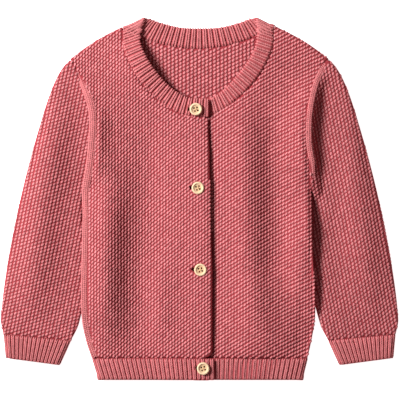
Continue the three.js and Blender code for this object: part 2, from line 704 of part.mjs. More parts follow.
function cuff(side) {
  const sign = mirror[side];
  const layers = { upper: layerOf.sleeve(side, true), lower: layerOf.sleeve(side, false) };
  const shares = [SEAM / 2 / 21, 0.14, 1];
  const rows = shares.map((share) => {
    const outer = {
      out: lerp(CUFF.top.outer.out, CUFF.end.outer.out, share),
      up: lerp(CUFF.top.outer.up, CUFF.end.outer.up, share),
    };
    const inner = {
      out: lerp(CUFF.top.inner.out, CUFF.end.inner.out, share),
      up: lerp(CUFF.top.inner.up, CUFF.end.inner.up, share),
    };
    const width = Math.hypot(outer.out - inner.out, outer.up - inner.up);
    const at = (d, layer, raised) => {
      const t = d / width;
      return { x: sign * lerp(inner.out, outer.out, t), up: lerp(inner.up, outer.up, t), layer, raised };
    };
    const tip = TURN - FOLD_RADIUS;
    const ribs = ribStations(60 - 2 * TURN, HEM_RIB);
    const upper = ribs.map((s) => at(lerp(TURN, width - TURN, s.share), layers.upper, s.raised));
    const lower = [0, 0.2, 0.4, 0.6, 0.8, 1].map((s) => at(lerp(width - TURN, TURN, s), layers.lower, 0));
    return [
      at(tip, layers.upper, 0),
      at(FOLD_STEPS[1], layers.upper, 0),
      ...upper,
      at(width - FOLD_STEPS[1], layers.upper, 0),
      at(width - tip, layers.upper, 0),
      at(width - FOLD_STEPS[1], layers.lower, 0),
      ...lower,
      at(FOLD_STEPS[1], layers.lower, 0),
      at(tip, layers.upper, 0),
    ];
  });
  const rib = (j, k, place) => ({ outer: j === 0 ? 0 : place.raised, inner: 0 });
  return wallGeometry(wallGrid(null, rows, rib), () => true);
}

// The neckband: up the right front, over the shoulder, round the back and down the left front. Its
// last stretch is hidden under the right front and lies plain.
function neckband() {
  const stretch = (curves, from, to, layer, face) => {
    const length = curves.middle.getLength() * (to - from);
    return ribStations(length, NECK_RIB).map(({ share, raised }) => ({
      ...curves.at(lerp(from, to, share)),
      layer,
      outer: face === 'outer' ? raised : 0,
      inner: face === 'inner' ? raised : 0,
    }));
  };
  const plain = (row, layer) => ({
    seam: new THREE.Vector3(row.seamX, row.seamUp, 0),
    free: new THREE.Vector3(row.freeX, row.freeUp, 0),
    layer,
    outer: 0,
    inner: 0,
  });
  const edge = TURN - FOLD_RADIUS;
  const hiddenFrom = 1 - (OVERLAP + 3) / BAND.left.middle.getLength();
  const hidden = [0.25, 0.5, 0.75, 1].map((share) => lerp(hiddenFrom, 1, share));
  const stations = [
    ...stretch(BAND.right, 0, 1, LAYER.frontRight, 'outer'),
    plain(foldRow(BAND_FOLD.right, FOLD_STEPS[1]), LAYER.frontRight),
    plain(foldRow(BAND_FOLD.right, edge), LAYER.frontRight),
    plain(foldRow(BAND_FOLD.right, FOLD_STEPS[1]), LAYER.backRight),
    ...stretch(BAND.back, 0, 1, null, 'inner'),
    plain(foldRow(BAND_FOLD.left, FOLD_STEPS[1]), LAYER.backLeft),
    plain(foldRow(BAND_FOLD.left, edge), LAYER.frontLeft),
    plain(foldRow(BAND_FOLD.left, FOLD_STEPS[1]), LAYER.frontLeft),
    ...stretch(BAND.left, 0, hiddenFrom, LAYER.frontLeft, 'outer'),
    ...hidden.map((share) => ({ ...BAND.left.at(share), layer: LAYER.frontLeft, outer: 0, inner: 0 })),
  ];
  const shares = [0, 0.13, 1];
  const rows = shares.map((share, j) => stations.map((station) => {
    const width = station.seam.distanceTo(station.free);
    const at = station.seam.clone().lerp(station.free, Math.max(share, SEAM / 2 / width));
    return {
      x: at.x,
      up: at.y,
      layer: station.layer ?? backLayer(at.x),
      outer: j === 0 ? 0 : station.outer,
      inner: j === 0 ? 0 : station.inner,
    };
  }));
  const rib = (j, k, place) => ({ outer: place.outer, inner: place.inner });
  return wallGeometry(wallGrid(null, rows, rib));
}

// Top of the cloth under a button and of the cloth it is sewn to
function clothTop(layer, x, up) {
  const { middle } = clothPoint(layer, x, up);
  return middle.z + WALL / 2;
}

function slitCutter({ out, up }) {
  const shape = new THREE.Shape();
  const r = SLIT.width / 2;
  shape.absarc(out + SLIT.outer - r, up, r, -Math.PI / 2, Math.PI / 2);
  shape.absarc(out - SLIT.inner + r, up, r, Math.PI / 2, (3 * Math.PI) / 2);
  const bottom = clothTop(LAYER.frontLeft, out, up) + 0.1;
  const geometry = new THREE.ExtrudeGeometry(shape, { depth: 8, bevelEnabled: false, curveSegments: 3 });
  geometry.translate(0, 0, bottom);
  return toSolid(geometry);
}

function withSlits(geometry, buttons) {
  let solid = toSolid(geometry);
  for (const button of buttons) solid = solid.subtract(slitCutter(button));
  return toGeometry(solid);
}

// Corners of the square of holes in a button
function holePlaces() {
  return [0, 1, 2, 3].map((k) => {
    const angle = BUTTON.turn + Math.PI / 4 + (k * Math.PI) / 2;
    return new THREE.Vector2(BUTTON.spread * Math.cos(angle), BUTTON.spread * Math.sin(angle));
  });
}

function upright(radius, height, sides, x, y, z) {
  const geometry = new THREE.CylinderGeometry(radius, radius, height, sides);
  geometry.rotateX(Math.PI / 2);
  geometry.translate(x, y, z + height / 2);
  return geometry;
}

function buttonSeat({ out, up }) {
  const reach = [0, 1, 2, 3, 4, 5, 6, 7].map((k) => (k * Math.PI) / 4);
  const tops = reach.map((a) => clothTop(LAYER.frontRight, out + 5 * Math.cos(a), up + 5 * Math.sin(a)));
  const ribbed = up < HEM_UP || up > 239 ? RIB_HEIGHT : 0;
  return Math.max(...tops, clothTop(LAYER.frontRight, out, up)) + ribbed + BUTTON_STAND;
}

function buttonGeometry(button) {
  const { radius, thick, rim, dish } = BUTTON;
  const profile = [
    [0, 0],
    [radius - 1.1, 0],
    [radius - 0.25, 0.8],
    [radius, 1.5],
    [radius - 0.35, thick - 0.35],
    [radius - rim, thick],
    [radius - rim - 1.1, thick - dish],
    [0, thick - dish - 0.15],
  ].map(([r, z]) => new THREE.Vector2(r, z));
  const geometry = new THREE.LatheGeometry(profile, 18);
  geometry.rotateX(Math.PI / 2);
  let solid = toSolid(geometry);
  for (const hole of holePlaces()) solid = solid.subtract(toSolid(upright(BUTTON.hole, 8, 6, hole.x, hole.y, -2)));
  const cut = toGeometry(solid);
  cut.translate(button.out, button.up, buttonSeat(button));
  return cut;
}

// The thread: a shank through the buttonhole, four legs in the holes and a cross on top
function threadGeometry(button) {
  const seat = buttonSeat(button);
  const foot = clothTop(LAYER.frontLeft, button.out, button.up) + SEAM;
  const tie = seat - SEAM;
  const top = seat + BUTTON.thick - BUTTON.dish + THREAD.rise;
  let solid = toSolid(upright(THREAD.shank, tie - foot, 8, 0, 0, foot));
  const plate = upright(BUTTON.spread + 2 * THREAD.leg, THREAD.plate, 8, 0, 0, tie - THREAD.plate);
  solid = solid.add(toSolid(plate));
  for (const hole of holePlaces()) {
    const height = top - tie - THREAD.bar / 2 + THREAD.plate / 2;
    solid = solid.add(toSolid(upright(THREAD.leg, height, 4, hole.x, hole.y, tie - THREAD.plate / 2)));
  }
  for (const turn of [0, 1]) {
    const bar = new THREE.BoxGeometry(2 * (BUTTON.spread + THREAD.bar), 2 * THREAD.bar, THREAD.bar);
    bar.rotateZ(BUTTON.turn + Math.PI / 4 + (turn * Math.PI) / 2);
    bar.translate(0, 0, top - THREAD.bar / 2 - 0.03 * turn);
    solid = solid.add(toSolid(bar));
  }
  const geometry = toGeometry(solid);
  geometry.translate(button.out, button.up, 0);
  return geometry;
}

// Materials
const yarn = new THREE.MeshStandardMaterial({ color: 0xb96466, roughness: 0.95, metalness: 0 });
const ribYarn = new THREE.MeshStandardMaterial({ color: 0xbe6a6a, roughness: 0.95, metalness: 0 });
const wood = new THREE.MeshStandardMaterial({ color: 0xecd9b4, roughness: 0.55, metalness: 0 });
const sewingThread = new THREE.MeshStandardMaterial({ color: 0xc98a80, roughness: 0.8, metalness: 0 });

const cardigan = new THREE.Group();

function addPiece(name, geometry, material) {
  const mesh = new THREE.Mesh(geometry, material);
  mesh.name = name;
  cardigan.add(mesh);
}

const [topButton, secondButton, thirdButton, hemButton] = BUTTONS;
addPiece('back', wallGeometry(wallGrid(null, backRows())), yarn);
addPiece('front_left', wallGeometry(wallGrid(LAYER.frontLeft, frontRows('left'))), yarn);
const rightPanel = wallGeometry(wallGrid(LAYER.frontRight, frontRows('right')));
addPiece('front_right', withSlits(rightPanel, [secondButton, thirdButton]), yarn);
for (const side of ['right', 'left']) {
  const { rows, closed } = sleeveRows(side);
  addPiece(`sleeve_${side}`, wallGeometry(wallGrid(null, rows), closed), yarn);
  addPiece(`cuff_${side}`, cuff(side), ribYarn);
}
addPiece('hem_back', hemBack(), ribYarn);
addPiece('hem_front_left', hemFront('left'), ribYarn);
addPiece('hem_front_right', withSlits(hemFront('right'), [hemButton]), ribYarn);
addPiece('neckband', withSlits(neckband(), [topButton]), ribYarn);
BUTTONS.forEach((button, k) => {
  addPiece(`button_${k + 1}`, buttonGeometry(button), wood);
  addPiece(`thread_${k + 1}`, threadGeometry(button), sewingThread);
});

// The origin is under the middle of the garment
const box = new THREE.Box3().setFromObject(cardigan);
const centre = box.getCenter(new THREE.Vector3());
cardigan.position.set(-centre.x, -centre.y, -box.min.z);

export default cardigan;
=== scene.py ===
"""A knitted baby cardigan laid flat: dusty rose cotton in moss stitch, with ribbed neckband, hem and
cuffs and four turned wooden buttons. Sizes are in millimetres until they are placed."""
import math
import random

import bmesh
import bpy
import numpy as np
from mathutils import Matrix, Vector
from mathutils.bvhtree import BVHTree


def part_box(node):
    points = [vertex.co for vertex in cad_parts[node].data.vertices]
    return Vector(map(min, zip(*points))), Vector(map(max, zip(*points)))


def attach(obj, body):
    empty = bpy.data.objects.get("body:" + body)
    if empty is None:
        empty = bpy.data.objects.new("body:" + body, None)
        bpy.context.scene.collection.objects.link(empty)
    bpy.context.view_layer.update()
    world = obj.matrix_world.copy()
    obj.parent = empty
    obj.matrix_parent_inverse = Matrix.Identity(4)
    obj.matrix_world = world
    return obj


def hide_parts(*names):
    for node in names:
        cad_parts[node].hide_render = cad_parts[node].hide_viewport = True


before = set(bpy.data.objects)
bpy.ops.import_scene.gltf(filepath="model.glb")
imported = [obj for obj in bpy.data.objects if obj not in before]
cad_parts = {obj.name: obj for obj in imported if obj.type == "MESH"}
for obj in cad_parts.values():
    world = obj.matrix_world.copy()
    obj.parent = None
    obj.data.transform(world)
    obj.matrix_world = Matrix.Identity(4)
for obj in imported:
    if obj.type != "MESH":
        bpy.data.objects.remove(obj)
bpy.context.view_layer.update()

MM = 0.001
HEM_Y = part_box("hem_back")[0].y
ROOT = "root"
SIGN = {"right": -1, "left": 1}

# Moss stitch: the pitch of its columns and rows, how far they turn and bow, and how its stitches lie
FRONT_FIELD = {"column": 2.72, "row": 3.43, "turn": 0.0, "bow": 0.0012}
# A panel's tone darkens all its stitches below their yarn, as painted shade
SLEEVE_FIELD = {
    "crest": 0, "column": 3.15, "row": 3.3, "bow": 0.0, "lean": -30, "long": 4.3, "high": 1.0, "tone": 0.87
}
MOSS = {
    "front_right": {"middle": (-48, 130), "crest": 34, **FRONT_FIELD},
    "front_left": {"middle": (52, 130), "crest": 22, **FRONT_FIELD},
    "sleeve_right": {"turn": -11.0, "middle": (-134, 150), **SLEEVE_FIELD},
    "sleeve_left": {"turn": 11.0, "middle": (134, 150), **SLEEVE_FIELD},
    "back": {
        "middle": (0, 290), "crest": 0, "column": 3.45, "row": 3.43, "turn": 0.0, "bow": 0.0006, "tone": 0.96
    },
}
MOSS_REACH = 206
STITCH = {"lean": -38.0, "wide": 2.3, "long": 4.4, "high": 1.15}
# How far one stitch strays from the pattern: its place, its lean and its size
STRAY = {"place": 0.16, "lean": 0.14, "size": 0.07}
BOW_LEAN = 0.6
STITCH_FACES = {"around": 6, "rings": 4}
TINT_RANGE = (0.86, 1.12)
SEAM_MARGIN = 0.55
# The least tilt of a surface that a stitch lies on, and how stitches shrink where it falls away
STEEPEST = 0.12
SHRINK = {"least": 0.6, "tilt": (0.15, 0.75)}
# Ribs, and how much brighter or darker each ribbed piece is than its yarn, as painted shade for how each
# piece lies to the light
RIB_HEM = {"pitch": 4.0, "wide": 0.43, "long": 4.6, "high": 1.5, "step": 1.9, "lean": 10.0, "apart": 0.175}
RIB_NECK = {"pitch": 5.2, "wide": 0.41, "long": 4.8, "high": 1.6, "step": 2.0, "lean": 10.0, "apart": 0.2}
RIB_PAINTED_SHADE_TONES = {
    "hem_front_right": 0.93, "hem_front_left": 0.87, "cuff_right": 0.87, "cuff_left": 1.0, "neckband": 0.94,
}
RIB_STRAY = {"wide": 0.04, "long": 0.05}
RIB_SINK = 0.05
RIB_TRIM = {"hem": (1.2, 0.4), "band": (-0.3, 0.9), "fold": (0.4, 0.4)}
EDGE_RIB = {"out": 1.35, "wide": 3.2}
FOLD_RIB = {"in": 1.0, "wide": 4.6}
BAND_END = 10.2
# Small stitches on the neck seam and on the smooth seams
NECK_STITCH = {"step": 2.2, "wide": 1.5, "long": 2.4, "high": 1.4, "stray": 0.08}
RIDGE_REACH = (-1.6, 0.0, 1.6)
RIDGE_STITCH = {"step": 1.75, "lean": 34, "wide": 1.8, "long": 3.0, "high": 0.7, "stray": 0.07}

# The solids' own sizes
HEM_UP = 19.1
WALL = 2.4
NECK_GAP = 0.28
TURN = 3.0
CUFF_WIDE = 60.0
UNDER_EDGE = 1.0

# Yarn that links two pieces: where it stops short of the outline or passes it
LINK = {"radius": 0.95, "step": 2.5, "end": 0.8, "hem": 0.6, "cuff": 0.8, "armhole": 0.3, "beside": 1.2}
HEM_STARTS = {"right": 13.3, "left": 11.0}
BACK_HEM = (-96.5, 97.2)
SIDE_LINK = {"from": 128, "to": 174, "step": 5, "out": 0.4, "up": 3.0, "radius": 1.5, "flat": 1.5}

# Buttons and the threads on them
SECTION = [
    (0.0, 0.0), (4.4, 0.0), (5.2, 0.35), (5.65, 0.95), (5.75, 1.6), (5.55, 2.3), (5.1, 2.7), (4.6, 2.8),
    (4.15, 2.68), (3.8, 2.3), (3.45, 2.0), (2.9, 1.88), (1.6, 1.82), (0.0, 1.8),
]
BUTTON_SINK = 0.5
DISH = {"edge": 4.3, "wide": 1.6, "up": 1.8}
HOLES = {"count": 4, "spread": 1.95, "radius": 0.85, "turn": 0.26}
THREAD = {"radius": 0.13, "apart": 0.13, "ends": 0.72, "rise": 0.2, "over": 0.1, "drop": 1.5, "steps": 8}
SHANK = {"radius": 0.9, "from": -1.9, "neck": -2.6}

# The solids' own lines, from the hem's edge up and from the middle line out
BODY_SIDES = {
    "right": [
        (92.4, 0), (98.3, 19), (102.8, 36), (106.4, 55), (107.3, 82), (106.7, 118), (105.6, 150), (104, 172)
    ],
    "left": [
        (94.2, 0), (98.9, 19), (102.4, 36), (105.8, 55), (105.5, 82), (103.4, 118), (102.4, 150), (102, 172)
    ],
}
SLEEVE_OUTER = [
    (117, 293), (126.2, 282.6), (135.4, 263.5), (147, 227.5), (159.4, 182), (173.2, 118), (180.8, 66),
    (181.8, 51), (178.8, 41.2),
]
FRONT_EDGE = [(13.6, 0), (13.3, 20), (11.5, 50)]
ARMHOLES = {
    "right": [(104, 172), (100.1, 204), (98.4, 224), (98.2, 241), (101.9, 256), (109, 274), (117, 293)],
    "left": [(102, 172), (98.8, 204), (96.4, 224), (96.9, 241), (100.4, 256), (106.6, 274), (117, 293)],
}
CUFF = {
    "top": {"outer": (178.8, 41.2), "inner": (117, 35.4)},
    "end": {"outer": (177, 20), "inner": (126.6, 13.2)},
}
# The neckband across its width, from its seam to its free edge, round from the right front
BAND_FOLD = {"right": ((-70.2, 321.8), (-50, 328.8)), "left": ((68, 322.8), (51.2, 328.8))}
BAND_RIGHT = [
    ((8.8, 239.6), (8.8, 256.4)), ((-3.2, 239.8), (-1.4, 256.6)), ((-15, 242.1), (-10.9, 257.8)),
    ((-35.9, 253.9), (-25.9, 266.6)), ((-54.6, 273.9), (-41.2, 283.5)), ((-63.4, 289.6), (-49.1, 296.4)),
    ((-68.8, 304), (-53.6, 309.6)),
]
BAND_BACK = [
    ((-45, 308.9), (-36, 324.7)), ((-22.3, 303), (-17.7, 320.5)), ((0.5, 301.7), (0.5, 319.7)),
    ((24.1, 304.3), (19.6, 320.7)), ((45.4, 310.6), (37.8, 325)),
]
BAND_LEFT = [
    ((67, 307), (51.8, 312)), ((63, 294.4), (48.6, 299.5)), ((53.9, 277.6), (41, 286.8)),
    ((36.4, 257.8), (25.9, 268.9)), ((15.6, 243.2), (11.5, 257.8)), ((0, 239.9), (0, 256.2)),
    ((-15, 239.7), (-15, 255.8)),
]

# Smooth seams that stand up from the cloth: places, each with its rise over the cloth, and the rows
# of stitches on them
RIDGES = [
    {
        "line": [
            (-94.5, 20.5, -1), (-99.7, 36, -1), (-103.2, 55, -1), (-104, 82, -1), (-103.3, 118, -1),
            (-102.7, 150, -0.8), (-103.2, 172, -0.4), (-99.6, 196, -0.4), (-97, 224, -0.4),
            (-96.9, 241, -0.5), (-100.2, 256, -0.8), (-107.4, 274, -1.5), (-114.2, 287.5, -2.2),
        ],
        "wide": 7.4, "high": 2.2, "clear": 2.3, "fade": (250, 284), "rows": (-2.7, -0.9, 0.9, 2.7),
    },
    {
        "line": [
            (103, 184, -1.6), (102.2, 198, -1.1), (99.7, 212, -0.8), (99.2, 230, -0.7), (100.4, 246, -0.7),
            (104.6, 266, -0.8), (110.3, 280, -1.0), (115.4, 289.5, -1.5),
        ],
        "wide": 5.2, "high": 2.2, "clear": 1.7, "fade": (300, 310), "rows": (-1.7, 0, 1.7),
    },
]

# Creases pressed into the cloth over the solids' own folds: start, end, width, height, and how far they
# keep from the seams
CREASES = {
    "front_right": [
        ((-81, 190), (-84, 30), 15, 5.0, 9),
        ((-46, 222), (-51, 30), 15, -2.4, 9),
        ((-93, 244), (-92, 186), 8, 2.0, 9),
        ((7, 234), (10, 26), 17, 2.4, 9),
        ((-36, 108), (-38, 40), 10, 1.6, 9),
    ],
    "front_left": [
        ((102, 122), (92, 18), 10, -2.2, 3.5),
        ((17, 238), (21, 26), 9, 1.3, 9),
        ((38, 240), (44, 50), 17, 4.8, 9),
        ((84, 236), (88, 40), 15, 2.0, 5),
        ((66, 240), (74, 110), 13, -1.8, 9),
        ((60, 92), (57, 20), 26, 5.2, 9),
    ],
    "sleeve_right": [
        ((-132, 246), (-153, 66), 18, 3.2, 9),
    ],
    "sleeve_left": [
        ((140, 238), (157, 74), 12, 1.6, 9),
        ((113, 262), (110, 192), 6, -1.2, 6),
        ((107, 176), (106.5, 60), 6, -1.8, 2.5),
        ((122, 250), (125, 80), 13, -1.8, 9),
    ],
}
CREASE_EDGE = 0.3
CREASE_ENDS = ((-0.2, 0.25), (0.75, 1.2))
UPPER_LAYER = (2.6, 4.4)
CUFF_CLEAR = (40, 62)

# The cloth's mesh: how near places are merged, which triangles are joined, and what counts as its top
MERGE = 0.00002
JOIN = {"face": 35, "shape": 60}
TOP_TILT = 0.25
LINE_STEPS = 30
ABOVE = 0.2

# Corners drawn out again after the cloth is smoothed: where, by how much and how far round
CORNERS = {
    "front_right": [{"at": (7.6, 237.2), "by": (2.0, 2.0), "reach": 4.5}],
    "hem_front_right": [{"at": (-92.6, 0.6), "by": (-1.4, -0.4), "reach": 4}],
    "hem_front_left": [{"at": (94.2, 0.6), "by": (1.4, -0.4), "reach": 4}],
    "neckband": [
        {"at": (-53, 328), "by": (-0.8, 0.9), "reach": 10},
        {"at": (54, 328), "by": (0.8, 0.9), "reach": 10},
        {"at": (-46.5, 326), "by": (0.5, 2.4), "reach": 7},
        {"at": (47.5, 326), "by": (-0.5, 2.4), "reach": 7},
        *({"at": free, "by": (0, 0.9), "reach": 12} for _, free in BAND_BACK),
    ],
}
# Where seams end at the outline, drawn together, and the open edges of the ribs, drawn out
SEAM_ENDS = [
    (-117.1, 293), (117.1, 293), (-70.3, 322), (68.2, 323), (-97.4, 19.1), (98.4, 19.1), (-178.8, 41.2),
    (178.8, 41.2), (-117, 35.4), (117, 35.4),
]
SEAM_END = {"share": 0.75, "reach": 3.2}
RIB_END = {"out": 0.8, "reach": 3.0}
# The edge of the upper front, drawn out over its last few millimetres and faded at both ends
FRONT_OUT = {"out": 0.9, "from": (2, 8), "low": (30, 60), "high": (205, 230)}

# The cloth beside the armholes and the body's sides, lifted or pressed down over a stretch of height
BESIDE_SEAM = {
    "front_right": {"high": 3.4, "wide": 26, "power": 2, "from": (130, 200), "to": (235, 285)},
    "sleeve_right": {"high": -1.2, "wide": 18, "power": 2, "from": (150, 190), "to": (240, 280)},
    "front_left": {"high": 2.7, "wide": 13, "power": 2, "from": (92, 150), "to": (225, 275)},
    "sleeve_left": {"high": 3.4, "wide": 8.5, "power": 6, "from": (160, 178), "to": (240, 288)},
}

# Camera, light and floor
FRAME_WIDE = 0.364
CAMERA_HIGH = 2.4
GARMENT_MIDDLE_UP = 0.006
CAMERA_AT = (0.00045, -0.0006)
SENSOR = 36.0
KEY_FROM = (-1.6, 0.74, 1.32)
KEY_SIZE = 0.8
KEY_POWER = 102.0
SKY = 0.2
SKY_COLOUR = (1.0, 0.72, 0.72, 1.0)
FLOOR_SIZE = 3.0
FLOOR_UP = -0.0002

# Colours, as the eye sees them. A stitch's colour runs from its crown down through painted half shade to
# painted shade at its foot
ROSE_CROWN = "d08487"
ROSE_PAINTED_HALF_SHADE = "b86568"
ROSE_PAINTED_SHADE = "923338"
# Painted shade: the knitting between the moss stitches
ROSE_GROUND_PAINTED_SHADE = "94393f"
RIB_CROWN = "c7787a"
RIB_PAINTED_HALF_SHADE = "ba6769"
RIB_PAINTED_SHADE = "93363b"
# Painted shade: the knitting between the ribs
RIB_GROUND_PAINTED_SHADE = "a84c51"
SEAM_GROUND = "c06e70"
# Far sides: a stitch colour, then painted shade between the stitches
MOSS_FAR = ("c9767a", "74282f")
RIB_FAR = ("cb7a7c", "8d3b42")
RIB_FAR_FIELD = {"column": 2.0, "row": 2.4, "turn": 0}
SHEEN_TINT = "ffd9d4"
WOOD_LIGHT = "e2cba8"
WOOD_DARK = "cfa980"
THREAD_PALE = "d6b489"
FLOOR = ("fbfafa", "f8f7f7")
FLOOR_GLOW = 0.9


def colour(code):
    """A colour written as the eye sees it, as the shader's own values."""
    parts = [int(code[k : k + 2], 16) / 255 for k in (0, 2, 4)]
    linear = [p / 12.92 if p <= 0.04045 else ((p + 0.055) / 1.055) ** 2.4 for p in parts]
    return (*linear, 1.0)


def spot(x, up, z=0.0):
    """A place on the garment, from the middle line and the hem's edge."""
    return Vector((x * MM, HEM_Y + up * MM, z * MM))


def flat_place(at):
    """The same the other way round: how far a place is out and up."""
    return Vector((at.x / MM, (at.y - HEM_Y) / MM))


def side_of(node):
    return "right" if node.endswith("right") else "left"


def strayed(rng, size, share):
    """A size that strays by up to a share of itself."""
    return size * rng.uniform(1 - share, 1 + share)


# Shader groups and materials


def new_group(name, inputs, outputs):
    """A shader group of values, with its inputs' usual values."""
    group = bpy.data.node_groups.new(name, "ShaderNodeTree")
    for label, value in inputs.items():
        socket = group.interface.new_socket(label, in_out="INPUT", socket_type="NodeSocketFloat")
        socket.default_value = value
    for label in outputs:
        group.interface.new_socket(label, in_out="OUTPUT", socket_type="NodeSocketFloat")
    return group, add(group, "NodeGroupInput"), add(group, "NodeGroupOutput")


def add(tree, kind, **values):
    node = tree.nodes.new(kind)
    for key, value in values.items():
        setattr(node, key, value)
    return node


def feed(tree, socket, value):
    """Sets a socket to a constant, or links it to another node."""
    if hasattr(value, "is_output"):
        tree.links.new(value, socket)
    else:
        socket.default_value = value


def maths(tree, operation, *values):
    node = add(tree, "ShaderNodeMath", operation=operation)
    for socket, value in zip(node.inputs, values):
        feed(tree, socket, value)
    return node.outputs[0]


def ramp(tree, value, low, high):
    """0 below the low value and 1 above the high one."""
    node = add(tree, "ShaderNodeMapRange")
    tree.links.new(value, node.inputs["Value"])
    node.inputs["From Min"].default_value = low
    node.inputs["From Max"].default_value = high
    return node.outputs[0]


def noise(tree, scale, detail=None, place=None):
    node = add(tree, "ShaderNodeTexNoise")
    feed(tree, node.inputs["Scale"], scale)
    if detail:
        node.inputs["Detail"].default_value = detail
    if place:
        tree.links.new(place, node.inputs["Vector"])
    return node.outputs[0]


def blend(tree, share, first, second):
    """A mix of two colours."""
    node = add(tree, "ShaderNodeMix", data_type="RGBA")
    for index, value in ((0, share), (6, first), (7, second)):
        feed(tree, node.inputs[index], value)
    return node.outputs[2]


def fibre_group():
    """Spun cotton: fine fibres that roughen the surface, and flecks that lighten and darken it."""
    group, source, result = new_group("cotton fibres", {"Scale": 1.0, "Fleck": 0.25}, ("Shade", "Height"))
    place = add(group, "ShaderNodeTexCoord").outputs["Object"]
    fine_scale, broad_scale = (maths(group, "MULTIPLY", source.outputs["Scale"], k) for k in (2600.0, 190.0))
    fine = noise(group, fine_scale, detail=3.0, place=place)
    broad = noise(group, broad_scale, place=place)
    mixed = maths(group, "ADD", maths(group, "MULTIPLY", fine, 0.6), maths(group, "MULTIPLY", broad, 0.4))
    centred = maths(group, "MULTIPLY", maths(group, "SUBTRACT", mixed, 0.5), source.outputs["Fleck"])
    group.links.new(maths(group, "ADD", centred, 1.0), result.inputs["Shade"])
    group.links.new(fine, result.inputs["Height"])
    return group


def lattice_group():
    """Stitches in columns, each column half a stitch from the next: 1 on a stitch and 0 between."""
    sizes = {"Column": FRONT_FIELD["column"], "Row": FRONT_FIELD["row"], "Turn": 0.0}
    group, source, result = new_group("stitch lattice", sizes, ("Mask",))
    place = add(group, "ShaderNodeTexCoord").outputs["Object"]
    turned = add(group, "ShaderNodeVectorRotate", rotation_type="Z_AXIS")
    group.links.new(place, turned.inputs["Vector"])
    group.links.new(source.outputs["Turn"], turned.inputs["Angle"])
    split = add(group, "ShaderNodeSeparateXYZ")
    group.links.new(turned.outputs[0], split.inputs[0])
    across = maths(group, "MULTIPLY", split.outputs[0], math.pi / MM)
    across = maths(group, "DIVIDE", across, source.outputs["Column"])
    along = maths(group, "MULTIPLY", split.outputs[1], 2 * math.pi / MM)
    along = maths(group, "DIVIDE", along, source.outputs["Row"])
    wave = maths(group, "MULTIPLY", maths(group, "COSINE", across), maths(group, "COSINE", along))
    group.links.new(maths(group, "MULTIPLY", maths(group, "ADD", wave, 1.0), 0.5), result.inputs["Mask"])
    return group


def new_material(name, roughness, sheen=0.0):
    material = bpy.data.materials.new(name)
    material.use_nodes = True
    tree = material.node_tree
    shader = tree.nodes["Principled BSDF"]
    shader.inputs["Roughness"].default_value = roughness
    shader.inputs["Specular IOR Level"].default_value = 0.06
    if sheen:
        shader.inputs["Sheen Weight"].default_value = sheen
        shader.inputs["Sheen Roughness"].default_value = 0.45
        shader.inputs["Sheen Tint"].default_value = colour(SHEEN_TINT)
    return material, tree, shader


def place_group(tree, group, **values):
    node = add(tree, "ShaderNodeGroup", node_tree=group)
    for key, value in values.items():
        node.inputs[key].default_value = value
    return node


def shaded(tree, base, shade):
    """A colour made lighter or darker by a value near 1."""
    node = add(tree, "ShaderNodeVectorMath", operation="SCALE")
    feed(tree, node.inputs[0], base)
    tree.links.new(shade, node.inputs["Scale"])
    return node.outputs[0]


def yarn_coloured(tree, shader, base, fibre, strength, distance):
    """The colour of a yarn, flecked and roughened by its fibres."""
    tree.links.new(shaded(tree, base, fibre.outputs["Shade"]), shader.inputs["Base Color"])
    bumped(tree, shader, fibre.outputs["Height"], strength, distance)


def bumped(tree, shader, height, strength, distance):
    bump = add(tree, "ShaderNodeBump")
    bump.inputs["Strength"].default_value = strength
    bump.inputs["Distance"].default_value = distance
    tree.links.new(height, bump.inputs["Height"])
    tree.links.new(bump.outputs[0], shader.inputs["Normal"])


def stitch_material(name, fibres, crown, side, painted_shade):
    """Yarn of a raised stitch: lighter on its crown, with painted shade down its sides that is darkest where
    it dips between its neighbours.
    """
    material, tree, shader = new_material(name, roughness=0.95, sheen=0.03)
    crest, tint = (
        add(tree, "ShaderNodeAttribute", attribute_name=label).outputs["Fac"] for label in ("crown", "tint")
    )
    fibre = place_group(tree, fibres, Scale=1.0, Fleck=0.3)
    base = blend(tree, ramp(tree, crest, low=0.0, high=0.55), colour(painted_shade), colour(side))
    base = blend(tree, ramp(tree, crest, low=0.35, high=0.95), base, colour(crown))
    shade = maths(tree, "MULTIPLY", fibre.outputs["Shade"], tint)
    tree.links.new(shaded(tree, base, shade), shader.inputs["Base Color"])
    bumped(tree, shader, fibre.outputs["Height"], strength=0.35, distance=0.0002)
    return material


def ground_material(name, fibres, tone):
    """The knitting between the raised stitches, in a darker colour that paints their shade."""
    material, tree, shader = new_material(name, roughness=0.95)
    fibre = place_group(tree, fibres, Scale=0.8, Fleck=0.5)
    yarn_coloured(tree, shader, colour(tone)[:3], fibre, strength=0.4, distance=0.0004)
    return material


def far_side_material(name, fibres, lattice, field, crown, painted_shade):
    """Moss stitch on a side that lies on the surface, at the same pitch as the raised stitches: lighter on
    each stitch and painted shade between them.
    """
    material, tree, shader = new_material(name, roughness=0.92, sheen=0.1)
    fibre = place_group(tree, fibres, Scale=1.0, Fleck=0.3)
    cells = place_group(
        tree, lattice, Column=field["column"], Row=field["row"], Turn=math.radians(field["turn"])
    )
    base = blend(tree, ramp(tree, cells.outputs["Mask"], low=0.25, high=0.9), colour(painted_shade), colour(crown))
    tree.links.new(shaded(tree, base, fibre.outputs["Shade"]), shader.inputs["Base Color"])
    fuzz = maths(tree, "MULTIPLY", fibre.outputs["Height"], 0.15)
    bumped(tree, shader, maths(tree, "ADD", cells.outputs["Mask"], fuzz), strength=0.9, distance=0.0011)
    return material


